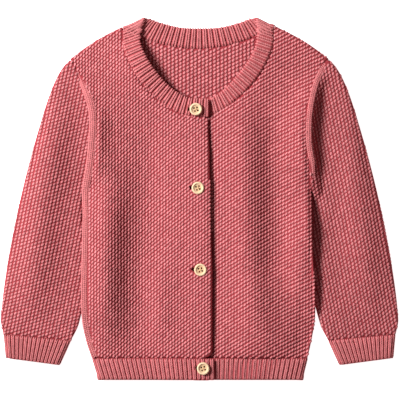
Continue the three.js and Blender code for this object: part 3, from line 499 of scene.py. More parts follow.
def wood_material():
    """Pale turned wood: a fine straight grain, darker in the dish."""
    material, tree, shader = new_material("pale turned wood", roughness=0.5)
    stretch = add(tree, "ShaderNodeMapping")
    stretch.inputs["Scale"].default_value = (1.0, 0.16, 1.0)
    stretch.inputs["Rotation"].default_value = (0.0, 0.0, 0.5)
    tree.links.new(add(tree, "ShaderNodeTexCoord").outputs["Object"], stretch.inputs["Vector"])
    grain = noise(tree, scale=1500.0, detail=4.0, place=stretch.outputs[0])
    dish = add(tree, "ShaderNodeAttribute", attribute_name="dish").outputs["Fac"]
    share = maths(tree, "ADD", maths(tree, "MULTIPLY", grain, 0.45), maths(tree, "MULTIPLY", dish, 0.55))
    base = blend(tree, share, colour(WOOD_LIGHT), colour(WOOD_DARK))
    tree.links.new(base, shader.inputs["Base Color"])
    rough = maths(tree, "ADD", maths(tree, "MULTIPLY", grain, 0.25), 0.38)
    tree.links.new(rough, shader.inputs["Roughness"])
    bumped(tree, shader, grain, strength=0.2, distance=0.0001)
    return material


def thread_material(fibres):
    material, tree, shader = new_material("pale sewing thread", roughness=0.7, sheen=0.1)
    fibre = place_group(tree, fibres, Scale=1.4, Fleck=0.5)
    yarn_coloured(tree, shader, colour(THREAD_PALE)[:3], fibre, strength=0.5, distance=0.0002)
    return material


def floor_material():
    material, tree, shader = new_material("pale floor", roughness=0.9)
    base = blend(tree, noise(tree, scale=9.0), *map(colour, FLOOR))
    tree.links.new(base, shader.inputs["Base Color"])
    shader.inputs["Emission Color"].default_value = (1.0, 1.0, 1.0, 1.0)
    shader.inputs["Emission Strength"].default_value = FLOOR_GLOW
    return material


# Meshes


def put(name, data):
    """A new object in the scene."""
    thing = bpy.data.objects.new(name, data)
    bpy.context.scene.collection.objects.link(thing)
    return thing


def give_materials(mesh, materials):
    mesh.materials.clear()
    for material in materials:
        mesh.materials.append(material)


def new_piece(name, mesh, slot, *materials):
    piece = put(name, mesh)
    give_materials(mesh, materials)
    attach(piece, ROOT)
    return piece


def mesh_from(bm, name):
    mesh = bpy.data.meshes.new(name)
    for face in bm.faces:
        face.smooth = True
    bm.to_mesh(mesh)
    bm.free()
    return mesh


def finished_mesh(piece, *materials):
    """The piece's mesh with its modifiers worked in."""
    bpy.context.view_layer.update()
    graph = bpy.context.evaluated_depsgraph_get()
    shape = piece.evaluated_get(graph)
    mesh = bpy.data.meshes.new_from_object(shape, preserve_all_data_layers=True, depsgraph=graph)
    piece.modifiers.clear()
    old = piece.data
    piece.data = mesh
    bpy.data.meshes.remove(old)
    if materials:
        give_materials(mesh, materials)
        mesh.shade_smooth()
    return mesh


def cloth_shell(node, slot, top, under):
    """A piece of cloth on its solid's form, with its edges rounded and its faces smooth."""
    bm = bmesh.new()
    bm.from_mesh(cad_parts[node].data)
    bmesh.ops.remove_doubles(bm, verts=bm.verts, dist=MERGE)
    face, shape = math.radians(JOIN["face"]), math.radians(JOIN["shape"])
    bmesh.ops.join_triangles(bm, faces=bm.faces, angle_face_threshold=face, angle_shape_threshold=shape)
    piece = new_piece(f"{node}_cloth", mesh_from(bm, f"{node}_cloth"), slot, top, under)
    smooth = piece.modifiers.new("soft", "SUBSURF")
    smooth.levels = smooth.render_levels = 2
    mesh = finished_mesh(piece)
    drawn_out(node, mesh)
    creased(node, mesh)
    # Faces turned up take the ground's painted shade under the stitches; steeper faces take the far side's
    # knit
    for polygon in mesh.polygons:
        polygon.material_index = 0 if polygon.normal.z > TOP_TILT else 1
        polygon.use_smooth = True
    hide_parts(node)
    return piece


def crease_height(x, up, start, end, wide, high):
    (x0, up0), (x1, up1) = start, end
    dx, dy = x1 - x0, up1 - up0
    length = math.hypot(dx, dy)
    along = ((x - x0) * dx + (up - up0) * dy) / length ** 2
    across = ((x - x0) * dy - (up - up0) * dx) / length
    ends = smooth_step(along, *CREASE_ENDS[0]) * (1 - smooth_step(along, *CREASE_ENDS[1]))
    return high * ends * math.exp(-((across / wide) ** 2))


def smooth_step(value, low, high):
    t = min(1.0, max(0.0, (value - low) / (high - low)))
    return t * t * (3 - 2 * t)


def rib_end(node):
    """The open edge of a hem or a cuff, as a place on it and its direction outwards."""
    if node.startswith("hem"):
        return Vector((0, 0)), Vector((0, -1))
    if node.startswith("cuff"):
        sign = SIGN[side_of(node)]
        (inner_x, inner_up), (outer_x, outer_up) = CUFF["end"]["inner"], CUFF["end"]["outer"]
        inner, outer = Vector((sign * inner_x, inner_up)), Vector((sign * outer_x, outer_up))
        along = (outer - inner).normalized()
        return inner, Vector((along.y, -along.x)) * sign
    return None, None


def corner_move(node, place):
    """How far the corners of a piece draw out its cloth and its stitches at a place."""
    move = Vector((0, 0))
    for corner in CORNERS.get(node, []):
        away = (place - Vector(corner["at"])).length / corner["reach"]
        move += Vector(corner["by"]) * math.exp(-(away ** 2))
    return move


def drawn_out(node, mesh):
    """Gives back to the corners and ends of a piece what its smoothing took away."""
    end, outwards = rib_end(node)
    for vertex in mesh.vertices:
        place = flat_place(vertex.co)
        move = corner_move(node, place)
        for seam_end in SEAM_ENDS:
            away = Vector(seam_end) - place
            move += away * SEAM_END["share"] * math.exp(-((away.length / SEAM_END["reach"]) ** 2))
        if node == "front_right":
            along = smooth_step(place.y, *FRONT_OUT["low"]) * (1 - smooth_step(place.y, *FRONT_OUT["high"]))
            move.x += FRONT_OUT["out"] * along * smooth_step(place.x, *FRONT_OUT["from"])
        if end:
            depth = (place - end).dot(outwards)
            move += outwards * RIB_END["out"] * math.exp(-((depth / RIB_END["reach"]) ** 2))
        vertex.co += Vector((*move, 0)) * MM


def creased(node, mesh):
    """Lifts and presses the upper layer of a piece along its creases, away from its seams."""
    creases = CREASES.get(node)
    if not creases:
        return
    side = side_of(node)
    sleeve = node.startswith("sleeve")
    edges = [armhole_line(side), side_line(side, SLEEVE_OUTER if sleeve else BODY_SIDES[side])]
    lift = BESIDE_SEAM[node]
    for vertex in mesh.vertices:
        x, up = flat_place(vertex.co)
        upper = smooth_step(vertex.co.z / MM, *UPPER_LAYER)
        near = [distance_to(edge, x, up) for edge in edges]
        beside = near[0] if sleeve else min(near)
        raised = lift["high"] * math.exp(-((beside / lift["wide"]) ** lift["power"]))
        raised *= smooth_step(up, *lift["from"]) * (1 - smooth_step(up, *lift["to"]))
        low_down = smooth_step(up, *CUFF_CLEAR) if sleeve else 1.0
        for *crease, clear in creases:
            free = upper * low_down * smooth_step(min(near), CREASE_EDGE * clear, clear)
            raised += free * crease_height(x, up, *crease)
        vertex.co.z += upper * raised * MM


class Surface:
    """Finds what shows from above among the cloth pieces."""

    def __init__(self, pieces):
        points, faces, self.owners = [], [], []
        for piece in pieces:
            start = len(points)
            mesh = piece.data
            points.extend(vertex.co.copy() for vertex in mesh.vertices)
            for polygon in mesh.polygons:
                faces.append([start + k for k in polygon.vertices])
                self.owners.append(piece.name)
        self.tree = BVHTree.FromPolygons(points, faces)

    def hit(self, x, y):
        place, normal, index, _ = self.tree.ray_cast(Vector((x, y, ABOVE)), Vector((0, 0, -1)))
        return place, normal, None if index is None else self.owners[index]


def stitch_form():
    """A rounded stitch, with its height stored as its crown, by which its yarn paints shade low down on it.
    """
    bm = bmesh.new()
    bmesh.ops.create_uvsphere(
        bm, u_segments=STITCH_FACES["around"], v_segments=STITCH_FACES["rings"], radius=0.5
    )
    crown = bm.verts.layers.float.new("crown")
    for vert in bm.verts:
        vert[crown] = max(0.0, vert.co.z * 2)
    form = put("stitch", mesh_from(bm, "stitch"))
    form.hide_render = True
    form.hide_viewport = True
    return form


def stitches_tree(form):
    """Puts a stitch on every point, turned and sized by the point, as real mesh."""
    tree = bpy.data.node_groups.new("stitches on points", "GeometryNodeTree")
    for way in ("INPUT", "OUTPUT"):
        tree.interface.new_socket("Geometry", in_out=way, socket_type="NodeSocketGeometry")
    source, result = add(tree, "NodeGroupInput"), add(tree, "NodeGroupOutput")
    info = add(tree, "GeometryNodeObjectInfo", transform_space="ORIGINAL")
    info.inputs["Object"].default_value = form
    stored = {}
    for name in ("turn", "size"):
        stored[name] = add(tree, "GeometryNodeInputNamedAttribute", data_type="FLOAT_VECTOR")
        stored[name].inputs["Name"].default_value = name
    rotation = add(tree, "FunctionNodeEulerToRotation")
    stitches = add(tree, "GeometryNodeInstanceOnPoints")
    real = add(tree, "GeometryNodeRealizeInstances")
    for output, socket in (
        (source.outputs[0], stitches.inputs["Points"]),
        (info.outputs["Geometry"], stitches.inputs["Instance"]),
        (stored["turn"].outputs["Attribute"], rotation.inputs[0]),
        (rotation.outputs[0], stitches.inputs["Rotation"]),
        (stored["size"].outputs["Attribute"], stitches.inputs["Scale"]),
        (stitches.outputs[0], real.inputs[0]),
        (real.outputs[0], result.inputs[0]),
    ):
        tree.links.new(output, socket)
    return tree


def turned(normal, along):
    """The turn that lays a stitch on a surface with its length along a direction."""
    up = normal.normalized()
    forward = (along - up * along.dot(up)).normalized()
    right = forward.cross(up)
    return Matrix((right, forward, up)).transposed().to_euler()


def stitched_piece(name, slot, material, stitches, tone=1.0):
    """One piece from many stitches of {place, normal, along, wide, long, high}."""
    points = bpy.data.meshes.new(name)
    points.from_pydata([stitch["place"] for stitch in stitches], [], [])
    turns = [turned(stitch["normal"], stitch["along"]) for stitch in stitches]
    sizes = [tuple(stitch[key] * MM for key in ("wide", "long", "high")) for stitch in stitches]
    rng = random.Random(name)
    # The tone darkens a whole piece as painted shade; each stitch's tint strays at random
    tints = [tone * rng.uniform(*TINT_RANGE) for _ in stitches]
    for label, kind, key, values in (
        ("turn", "FLOAT_VECTOR", "vector", [v for turn in turns for v in turn]),
        ("size", "FLOAT_VECTOR", "vector", [v for size in sizes for v in size]),
        ("tint", "FLOAT", "value", tints),
    ):
        points.attributes.new(label, kind, "POINT").data.foreach_set(key, values)
    piece = new_piece(name, points, slot, material)
    knit = piece.modifiers.new("stitches", "NODES")
    knit.node_group = on_points
    finished_mesh(piece, material)
    return piece


def smooth_line(places):
    """A centripetal spline through places, as many short steps."""
    points = [np.array(place, dtype=float) for place in places]
    points = [2 * points[0] - points[1], *points, 2 * points[-1] - points[-2]]
    line = []
    for a, b, c, d in zip(points, points[1:], points[2:], points[3:]):
        first, middle, last = (np.linalg.norm(q - p) ** 0.5 for p, q in ((a, b), (b, c), (c, d)))
        leave = ((b - a) / first - (c - a) / (first + middle) + (c - b) / middle) * middle
        arrive = ((c - b) / middle - (d - b) / (middle + last) + (d - c) / last) * middle
        for t in np.arange(LINE_STEPS) / LINE_STEPS:
            second, third = 3 * (c - b) - 2 * leave - arrive, 2 * (b - c) + leave + arrive
            line.append(b + leave * t + second * t ** 2 + third * t ** 3)
    line.append(points[-2])
    return np.array(line)


def out_at(line, up):
    return float(np.interp(up, line[:, 1], line[:, 0]))


def lengths(line):
    return np.concatenate([[0], np.cumsum(np.hypot(*np.diff(line, axis=0).T))])


def along_line(line, steps, distance):
    """The place on a line at a distance from its start."""
    return np.array([np.interp(distance, steps, line[:, k]) for k in (0, 1)])


def evened(heights):
    """Heights along a path, each drawn towards its neighbours."""
    for k in range(1, len(heights) - 1):
        heights[k] = (heights[k - 1] + heights[k] + heights[k + 1]) / 3
    return heights


class BandStretch:
    """A stretch of the neckband between its seam and its free edge, measured along its middle."""

    def __init__(self, rows):
        self.seam = smooth_line([row[0] for row in rows])
        self.free = smooth_line([row[1] for row in rows])
        middle = smooth_line([((a[0] + b[0]) / 2, (a[1] + b[1]) / 2) for a, b in rows])
        self.reach = lengths(middle)

    def at(self, distance):
        return [along_line(line, self.reach, distance) for line in (self.seam, self.free)]


def fold_row(side, inwards):
    """The neckband's place at the shoulder, a distance inwards from where it turns over."""
    seam, free = (np.array(place, dtype=float) for place in BAND_FOLD[side])
    along = (free - seam) / np.linalg.norm(free - seam)
    down = np.array([along[1], -along[0]])
    down *= -1 if down[1] > 0 else 1
    return seam + down * inwards, free + down * inwards


def side_line(side, places):
    return smooth_line([(SIGN[side] * out, up) for out, up in places])


def armhole_line(side):
    return side_line(side, ARMHOLES[side])


def on_ridge(lines, x, up):
    """Whether a place is taken by a smooth seam, which fades into the cloth near the shoulder."""
    for ridge, line in zip(RIDGES, lines):
        if distance_to(line, x, up) < ridge["clear"] * (1 - smooth_step(up, *ridge["fade"])):
            return True
    return False


def distance_to(line, x, up):
    return float(np.min(np.hypot(line[:, 0] - x, line[:, 1] - up)))


def moss_stitches(node):
    """Stitches over what shows of a moss-stitch panel, in columns each half a stitch from the next."""
    field = MOSS[node]
    owner = f"{node}_cloth"
    low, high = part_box(node)
    angle = math.radians(field["turn"])
    cos, sin = math.cos(angle), math.sin(angle)
    middle_x, middle_up = field["middle"]
    columns, rows = (int(MOSS_REACH / field[key]) for key in ("column", "row"))
    margin = SEAM_MARGIN * MM
    stray = STRAY["place"]
    rng = random.Random(node)
    ridges = [smooth_line(ridge["line"]) for ridge in RIDGES]
    stitches = []
    for i in range(-columns, columns + 1):
        for j in range(-rows, rows + 1):
            a = i * field["column"]
            b = (j + (i % 2) * 0.5) * field["row"]
            x = middle_x + a * cos - b * sin
            up = middle_up + a * sin + b * cos
            up -= field["bow"] * ((x - field["crest"]) ** 2 - (middle_x - field["crest"]) ** 2)
            x += rng.uniform(-stray, stray)
            up += rng.uniform(-stray, stray)
            at = spot(x, up)
            if not (low.x <= at.x <= high.x and low.y <= at.y <= high.y):
                continue
            place, normal, found = surface.hit(at.x, at.y)
            if found != owner or normal.z < STEEPEST:
                continue
            if on_ridge(ridges, x, up):
                continue
            steps = ((-margin, 0), (margin, 0), (0, margin), (0, -margin))
            beside = [surface.hit(at.x + dx, at.y + dy)[2] for dx, dy in steps]
            if any(other not in (owner, None, "back_cloth") for other in beside):
                continue
            slope = -2 * field["bow"] * (x - field["crest"])
            lean = math.radians(field.get("lean", STITCH["lean"])) + angle + math.atan(slope) * BOW_LEAN
            lean += rng.uniform(-STRAY["lean"], STRAY["lean"])
            size = strayed(rng, 1.0, STRAY["size"])
            size *= SHRINK["least"] + (1 - SHRINK["least"]) * smooth_step(normal.z, *SHRINK["tilt"])
            stitches.append({
                "place": place,
                "normal": normal,
                "along": Vector((-math.sin(lean), math.cos(lean), 0)),
                "wide": STITCH["wide"] * size * field["column"] / FRONT_FIELD["column"],
                "long": field.get("long", STITCH["long"]) * size,
                "high": field.get("high", STITCH["high"]) * size,
            })
    return stitches


def ribs_between(first, last, count):
    """Middle lines of equal ribs between two grooves, each a pair of (start, end) places, with the
    width of a rib at both ends."""
    lines = []
    for k in range(count):
        share = (k + 0.5) / count
        start, end = (a + (b - a) * share for a, b in zip(first, last))
        wide = [float(np.linalg.norm(b - a)) / count for a, b in zip(first, last)]
        lines.append((start, end, *wide))
    return lines


def edge_rib(groove, outwards):
    """The rib that rolls over an edge, just outside the last groove."""
    shift = np.array(outwards) * EDGE_RIB["out"]
    return groove[0] + shift, groove[1] + shift, EDGE_RIB["wide"], EDGE_RIB["wide"]


def hem_ribs(side):
    sides = smooth_line(BODY_SIDES[side])
    edge = smooth_line(FRONT_EDGE)
    ends = []
    for up in (0.0, HEM_UP):
        start = out_at(edge, up) + (UNDER_EDGE if side == "left" else 0)
        outline = SIGN[side] * (out_at(sides, up) - TURN)
        ends.append((np.array([start, up]), np.array([outline, up])))
    first, last = zip(*ends)
    wide = abs(last[0][0] - first[0][0])
    return ribs_between(first, last, round(wide / RIB_HEM["pitch"])) + [edge_rib(last, (SIGN[side], 0))]


def cuff_ribs(side):
    sign = SIGN[side]
    ends = []
    for end in ("end", "top"):
        outer, inner = (np.array(CUFF[end][key], dtype=float) for key in ("outer", "inner"))
        along = (outer - inner) / np.linalg.norm(outer - inner)
        ends.append([(inner + along * TURN) * (sign, 1), (outer - along * TURN) * (sign, 1)])
    first, last = zip(*ends)
    edges = [edge_rib(first, (-sign, 0)), edge_rib(last, (sign, 0))]
    return ribs_between(first, last, round((CUFF_WIDE - 2 * TURN) / RIB_HEM["pitch"])) + edges


def band_ribs(rows):
    stretch = BandStretch(rows)
    whole = stretch.reach[-1]
    count = round(whole / RIB_NECK["pitch"])
    lines = []
    for k in range(count):
        seam, free = stretch.at((k + 0.5) / count * whole)
        grooves = zip(stretch.at(k / count * whole), stretch.at((k + 1) / count * whole))
        lines.append((seam, free, *(float(np.linalg.norm(b - a)) for a, b in grooves)))
    return lines


def rib_stitches(owners, lines, rib, rng, trim):
    """Two strands of stitches that lean together up each rib."""
    stitches = []
    for start, end, wide_start, wide_end in lines:
        a, b = Vector(start), Vector(end)
        direction = (b - a).normalized()
        a = a + direction * trim[0]
        b = b - direction * trim[1]
        count = max(3, round((b - a).length / rib["step"]))
        across = Vector((direction.y, -direction.x))
        for n in range(count):
            share = (n + 0.5) / count
            middle = a.lerp(b, share)
            wide = wide_start + (wide_end - wide_start) * share
            for sign in (-1, 1):
                flat = middle + across * (sign * wide * rib["apart"])
                if rib is RIB_NECK:
                    flat += corner_move("neckband", flat)
                at = spot(*flat)
                place, normal, found = surface.hit(at.x, at.y)
                if place is None or found not in owners:
                    continue
                lean = math.radians(rib["lean"]) * sign
                heading = direction * math.cos(lean) + across * math.sin(lean)
                stitches.append({
                    "place": place - normal * RIB_SINK * MM,
                    "normal": normal,
                    "along": Vector((*heading, 0)),
                    "wide": strayed(rng, wide * rib["wide"], RIB_STRAY["wide"]),
                    "long": strayed(rng, rib["long"], RIB_STRAY["long"]),
                    "high": rib["high"],
                })
    return stitches


def chain_stitches(line, stitch, rng):
    """A row of small stitches along a line in the plane."""
    steps = lengths(line)
    stitches = []
    for distance in np.arange(stitch["step"] / 2, steps[-1], stitch["step"]):
        here = along_line(line, steps, distance)
        ahead = along_line(line, steps, distance + 0.5) - here
        place, normal, _ = surface.hit(*spot(*here).xy)
        along = Vector((*ahead, 0))
        if place is None or along.length < 1e-6:
            continue
        stitches.append({
            "place": place,
            "normal": normal,
            "along": along,
            "wide": strayed(rng, stitch["wide"], stitch["stray"]),
            "long": strayed(rng, stitch["long"], stitch["stray"]),
            "high": stitch["high"],
        })
    return stitches


# Cloth

fibres = fibre_group()
lattice = lattice_group()
moss_yarn = stitch_material("rose moss stitch", fibres, ROSE_CROWN, ROSE_PAINTED_HALF_SHADE, ROSE_PAINTED_SHADE)
rib_yarn = stitch_material("rose rib stitch", fibres, RIB_CROWN, RIB_PAINTED_HALF_SHADE, RIB_PAINTED_SHADE)
moss_ground_painted_shade = ground_material("rose ground painted shade", fibres, ROSE_GROUND_PAINTED_SHADE)
rib_ground_painted_shade = ground_material("rose rib ground painted shade", fibres, RIB_GROUND_PAINTED_SHADE)
seam_ground = ground_material("rose seam", fibres, SEAM_GROUND)
moss_under = {
    node: far_side_material(f"rose far side {node}", fibres, lattice, field, *MOSS_FAR)
    for node, field in MOSS.items()
}
rib_under = far_side_material("rose rib far side", fibres, lattice, RIB_FAR_FIELD, *RIB_FAR)

cloth = {}
for node in MOSS:
    cloth[node] = cloth_shell(node, "knit", moss_ground_painted_shade, moss_under[node])
for node in ("cuff_right", "cuff_left", "hem_back", "hem_front_right", "hem_front_left", "neckband"):
    cloth[node] = cloth_shell(node, "rib", rib_ground_painted_shade, rib_under)

surface = Surface(cloth.values())
form = stitch_form()
on_points = stitches_tree(form)

for node in MOSS:
    stitches = moss_stitches(node)
    tone = MOSS[node].get("tone", 1.0)
    stitched_piece(f"{node}_stitches", "knit", moss_yarn, stitches, tone)

# Ribs
rng = random.Random(7)
for side in ("right", "left"):
    for node, panel, lines in (
        (f"hem_front_{side}", f"front_{side}", hem_ribs(side)),
        (f"cuff_{side}", f"sleeve_{side}", cuff_ribs(side)),
    ):
        owners = (f"{node}_cloth", f"{panel}_cloth")
        stitches = rib_stitches(owners, lines, RIB_HEM, rng, RIB_TRIM["hem"])
        stitched_piece(f"{node}_stitches", "rib", rib_yarn, stitches, RIB_PAINTED_SHADE_TONES[node])

folds = {side: fold_row(side, TURN) for side in ("right", "left")}
band_rows = {
    "right": [*BAND_RIGHT, folds["right"]],
    "back": [folds["right"], *BAND_BACK, folds["left"]],
    "left": [folds["left"], *BAND_LEFT],
}
band_owners = ("neckband_cloth", "front_right_cloth", "front_left_cloth", "back_cloth")
band = []
for name, rows in band_rows.items():
    made = rib_stitches(band_owners, band_ribs(rows), RIB_NECK, rng, RIB_TRIM["band"])
    if name == "left":
        made = [stitch for stitch in made if stitch["place"].x > BAND_END * MM]
    band += made
for side in ("right", "left"):
    fold_rib = (*fold_row(side, FOLD_RIB["in"]), FOLD_RIB["wide"], FOLD_RIB["wide"])
    band += rib_stitches(band_owners, [fold_rib], RIB_NECK, rng, RIB_TRIM["fold"])
stitched_piece("neckband_stitches", "rib", rib_yarn, band, RIB_PAINTED_SHADE_TONES["neckband"])

# Seams
seam_rows = []
for rows in band_rows.values():
    seam = smooth_line([row[0] for row in rows])
    seam_rows += chain_stitches(seam, NECK_STITCH, rng)
seams = stitched_piece("neck_seam_stitches", "rib", rib_yarn, seam_rows)


def strand(bm, path, radius, sides=7, flat=1.0):
    """A closed strand along a path, round or flattened: its end is extruded from place to place."""
    places = [Vector(p) * MM for p in path]
    ring = bmesh.ops.create_circle(bm, cap_ends=True, segments=sides, radius=radius * MM)["verts"]
    heading = (places[1] - places[0]).normalized()
    across = heading.cross(Vector((0, 0, 1)))
    across = across.normalized() if across.length > 0.01 else Vector((1, 0, 0))
    upward = across.cross(heading) * flat
    frame_turn = Matrix((across, upward, heading)).transposed().to_4x4()
    bmesh.ops.transform(bm, matrix=Matrix.Translation(places[0]) @ frame_turn, verts=ring)
    cap = next(face for face in ring[0].link_faces if all(vert in ring for vert in face.verts))
    for k in range(1, len(places)):
        ahead = (places[min(k + 1, len(places) - 1)] - places[k - 1]).normalized()
        made = bmesh.ops.extrude_face_region(bm, geom=[cap])["geom"]
        if k > 1:
            bmesh.ops.delete(bm, geom=[cap], context="FACES_ONLY")
        verts = [item for item in made if isinstance(item, bmesh.types.BMVert)]
        cap = next(item for item in made if isinstance(item, bmesh.types.BMFace))
        bend = heading.rotation_difference(ahead).to_matrix().to_4x4()
        move = Matrix.Translation(places[k]) @ bend @ Matrix.Translation(-places[k - 1])
        bmesh.ops.transform(bm, matrix=move, verts=verts)
        heading = ahead
    bmesh.ops.recalc_face_normals(bm, faces=bm.faces)


def ridge_path(ridge):
    """The middle of a smooth seam: its places, the directions along and across it, and its height."""
    line = smooth_line(ridge["line"])
    steps = lengths(line[:, :2])
    path = []
    heights = []
    for distance in np.arange(1.0, steps[-1] - 1.0, RIDGE_STITCH["step"]):
        place = along_line(line, steps, distance)
        ahead = along_line(line, steps, distance + 1) - place
        ahead /= np.linalg.norm(ahead)
        out = np.array([-ahead[1], ahead[0]])
        hits = [surface.hit(*spot(*(place + out * reach)).xy)[0] for reach in RIDGE_REACH]
        path.append((place, ahead, out))
        heights.append(max(hit.z for hit in hits if hit) / MM + np.interp(distance, steps, line[:, 2]))
    return [(*row, height) for row, height in zip(path, evened(heights))]


def smooth_seam():
    bm = bmesh.new()
    for ridge in RIDGES:
        places = [spot(*place, height) / MM for place, _, _, height in ridge_path(ridge)]
        strand(bm, places, ridge["wide"] / 2, sides=14, flat=ridge["high"] / ridge["wide"])
    return new_piece("smooth_seam", mesh_from(bm, "smooth_seam"), "knit", seam_ground)


def ridge_stitches(ridge):
    """Rows of small stitches that lean against each other over a smooth seam."""
    rows = []
    for middle, ahead, out, height in ridge_path(ridge):
        for k, offset in enumerate(ridge["rows"]):
            share = offset / (ridge["wide"] / 2)
            rise = ridge["high"] / 2 * math.sqrt(1 - share ** 2)
            lean = math.radians(RIDGE_STITCH["lean"] if k % 2 else -RIDGE_STITCH["lean"])
            rows.append({
                "place": spot(*(middle + out * offset), height + rise),
                "normal": Vector((*(out * share * 0.5), 1)).normalized(),
                "along": Matrix.Rotation(lean, 3, "Z") @ Vector((*ahead, 0)),
                "wide": RIDGE_STITCH["wide"],
                "long": strayed(rng, RIDGE_STITCH["long"], RIDGE_STITCH["stray"]),
                "high": RIDGE_STITCH["high"],
            })
    return rows


def wall_middle(x, up, across):
    """The height of the middle of the cloth on a seam, from what lies on both sides of it."""
    heights = []
    for reach in (-LINK["beside"], LINK["beside"]):
        place = surface.hit(*spot(x + across[0] * reach, up + across[1] * reach).xy)[0]
        if place:
            heights.append(place.z / MM)
    return (sum(heights) / len(heights) - WALL / 2) if heights else WALL / 2


def linked(bm, line, under=False):
    """Yarn that links two pieces, in the thickness of the cloth along their seam."""
    steps = lengths(line)
    count = max(4, int(steps[-1] / LINK["step"]))
    distances = np.linspace(LINK["end"], steps[-1] - LINK["end"], count)
    places = [along_line(line, steps, distance) for distance in distances]
    heights = []
    for k, place in enumerate(places):
        heading = places[min(k + 1, count - 1)] - places[max(k - 1, 0)]
        across = np.array([heading[1], -heading[0]]) / np.linalg.norm(heading)
        heights.append(WALL / 2 if under else wall_middle(*place, across))
    path = [spot(*place, height) / MM for place, height in zip(places, evened(heights))]
    strand(bm, path, LINK["radius"], sides=8)


def straight(first, last, count=12):
    first, last = np.array(first), np.array(last)
    return np.array([first + (last - first) * k / count for k in range(count + 1)])


def linking_yarn():
    bm = bmesh.new()
    for rows in band_rows.values():
        seam, free = (smooth_line([row[k] for row in rows]) for k in (0, 1))
        across = (seam - free) / np.linalg.norm(seam - free, axis=1)[:, None]
        linked(bm, seam + across * NECK_GAP)
    for side, sign in SIGN.items():
        sides = smooth_line(BODY_SIDES[side])
        outline = sign * (out_at(sides, HEM_UP) - LINK["hem"])
        linked(bm, straight((HEM_STARTS[side], HEM_UP), (outline, HEM_UP)))
        (inner, inner_up), (outer, outer_up) = CUFF["top"]["inner"], CUFF["top"]["outer"]
        cuff = straight((sign * (inner + LINK["cuff"]), inner_up), (sign * (outer - LINK["cuff"]), outer_up))
        armhole = armhole_line(side)
        onwards = armhole[-1] - armhole[-2]
        armhole = np.vstack([armhole, armhole[-1] + onwards / np.linalg.norm(onwards) * LINK["armhole"]])
        for under in (False, True):
            linked(bm, cuff, under)
            linked(bm, armhole, under)
        inside = []
        for up in range(SIDE_LINK["from"], SIDE_LINK["to"], SIDE_LINK["step"]):
            inside.append(spot(sign * (out_at(sides, up) + SIDE_LINK["out"]), up, SIDE_LINK["up"]) / MM)
        strand(bm, inside, SIDE_LINK["radius"], flat=SIDE_LINK["flat"])
    linked(bm, straight((BACK_HEM[0], HEM_UP), (BACK_HEM[1], HEM_UP)), under=True)
    # The linking yarn takes the ground's painted shade
    return new_piece("linking_yarn", mesh_from(bm, "linking_yarn"), "knit", moss_ground_painted_shade)


linking = linking_yarn()
smooth_seams = smooth_seam()
ridge_rows = [row for ridge in RIDGES for row in ridge_stitches(ridge)]
armhole_seams = stitched_piece("armhole_seam_stitches", "knit", rib_yarn, ridge_rows)

bpy.data.objects.remove(form)


# Buttons

wood = wood_material()
thread = thread_material(fibres)


def hole_places():
    for k in range(HOLES["count"]):
        angle = HOLES["turn"] + math.pi / 4 + k * math.pi / 2
        yield Vector((HOLES["spread"] * math.cos(angle), HOLES["spread"] * math.sin(angle)))


def turned_form():
    """Half the section of a button, spun round its middle."""
    bm = bmesh.new()
    verts = [bm.verts.new((r * MM, 0, z * MM)) for r, z in SECTION]
    edges = [bm.edges.new(pair) for pair in zip(verts, verts[1:])]
    bmesh.ops.spin(
        bm, geom=verts + edges, cent=(0, 0, 0), axis=(0, 0, 1), angle=2 * math.pi, steps=40, use_merge=True
    )
    bmesh.ops.remove_doubles(bm, verts=bm.verts, dist=0.00001)
    bmesh.ops.recalc_face_normals(bm, faces=bm.faces)
    return bm


def wooden_button(node):
    low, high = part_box(node)
    middle = (low + high) / 2
    piece = new_piece(f"{node}_wood", mesh_from(turned_form(), node), "button", wood)
    cutters = bmesh.new()
    radius = HOLES["radius"] * MM
    for hole in hole_places():
        made = bmesh.ops.create_cone(
            cutters, cap_ends=True, segments=16, radius1=radius, radius2=radius, depth=0.01
        )
        bmesh.ops.translate(cutters, verts=made["verts"], vec=(*(hole * MM), 0))
    drill = put("drill", mesh_from(cutters, "drill"))
    cut = piece.modifiers.new("holes", "BOOLEAN")
    cut.operation = "DIFFERENCE"
    cut.object = drill
    mesh = finished_mesh(piece, wood)
    bpy.data.objects.remove(drill)
    dish = mesh.attributes.new("dish", "FLOAT", "POINT")
    for vertex, value in zip(mesh.vertices, dish.data):
        out = math.hypot(vertex.co.x, vertex.co.y) / MM
        value.value = min(1.0, max(0.0, (DISH["edge"] - out) / DISH["wide"]))
    mesh.transform(Matrix.Translation((middle.x, middle.y, low.z - BUTTON_SINK * MM)))
    mesh.set_sharp_from_angle(angle=math.radians(50))
    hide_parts(node)


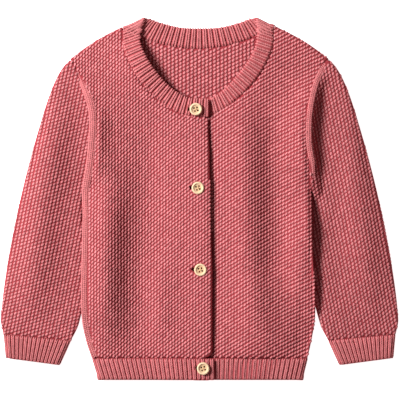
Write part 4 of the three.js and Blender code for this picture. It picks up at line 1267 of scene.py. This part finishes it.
def crossed_thread(node, button):
    """The shank under a button and the stitches that cross between its holes."""
    low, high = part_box(node)
    middle = (low + high) / 2
    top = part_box(button)[0].z + (DISH["up"] - BUTTON_SINK) * MM
    bm = bmesh.new()
    holes = [hole * THREAD["ends"] for hole in hole_places()]
    last = THREAD["steps"]
    for first, second in ((0, 2), (1, 3)):
        for shift in (-THREAD["apart"], THREAD["apart"]):
            a, b = holes[first], holes[second]
            side = Vector(((b - a).y, -(b - a).x)).normalized() * shift
            path = []
            for n in range(last + 1):
                share = n / last
                rise = THREAD["rise"] * math.sin(math.pi * share) ** 0.5 + (THREAD["over"] if first else 0.0)
                drop = -THREAD["drop"] if n in (0, last) else 0.0
                path.append((*(a.lerp(b, share) + side), rise + drop))
            strand(bm, path, THREAD["radius"])
    shank = [(0, 0, SHANK["from"]), (0, 0, SHANK["neck"]), (0, 0, (low.z - top) / MM)]
    strand(bm, shank, SHANK["radius"])
    bmesh.ops.translate(bm, verts=bm.verts, vec=(middle.x, middle.y, top))
    piece = new_piece(f"{node}_strands", mesh_from(bm, node), "thread", thread)
    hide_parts(node)


for k in range(1, 5):
    wooden_button(f"button_{k}")
    crossed_thread(f"thread_{k}", f"button_{k}")


# Floor, light and camera


def stage_floor():
    bm = bmesh.new()
    bmesh.ops.create_grid(bm, x_segments=1, y_segments=1, size=FLOOR_SIZE)
    floor = put("floor", mesh_from(bm, "floor"))
    floor.location.z = FLOOR_UP
    floor.data.materials.append(floor_material())


def key_light():
    light = bpy.data.lights.new("key", "AREA")
    light.energy = KEY_POWER
    light.size = KEY_SIZE
    lamp = put("key", light)
    lamp.location = KEY_FROM
    lamp.rotation_euler = (-Vector(KEY_FROM)).to_track_quat("-Z", "Y").to_euler()


def sky_light():
    world = bpy.data.worlds.new("studio")
    world.use_nodes = True
    sky = world.node_tree.nodes["Background"]
    sky.inputs["Color"].default_value = SKY_COLOUR
    sky.inputs["Strength"].default_value = SKY
    bpy.context.scene.world = world


def camera_above():
    data = bpy.data.cameras.new("camera")
    data.sensor_width = SENSOR
    data.lens = SENSOR * CAMERA_HIGH / FRAME_WIDE
    data.clip_end = 20
    camera = put("camera", data)
    camera.location = (*CAMERA_AT, CAMERA_HIGH + GARMENT_MIDDLE_UP)
    bpy.context.scene.camera = camera


stage_floor()
key_light()
sky_light()
camera_above()
bpy.context.scene.view_settings.view_transform = "Standard"
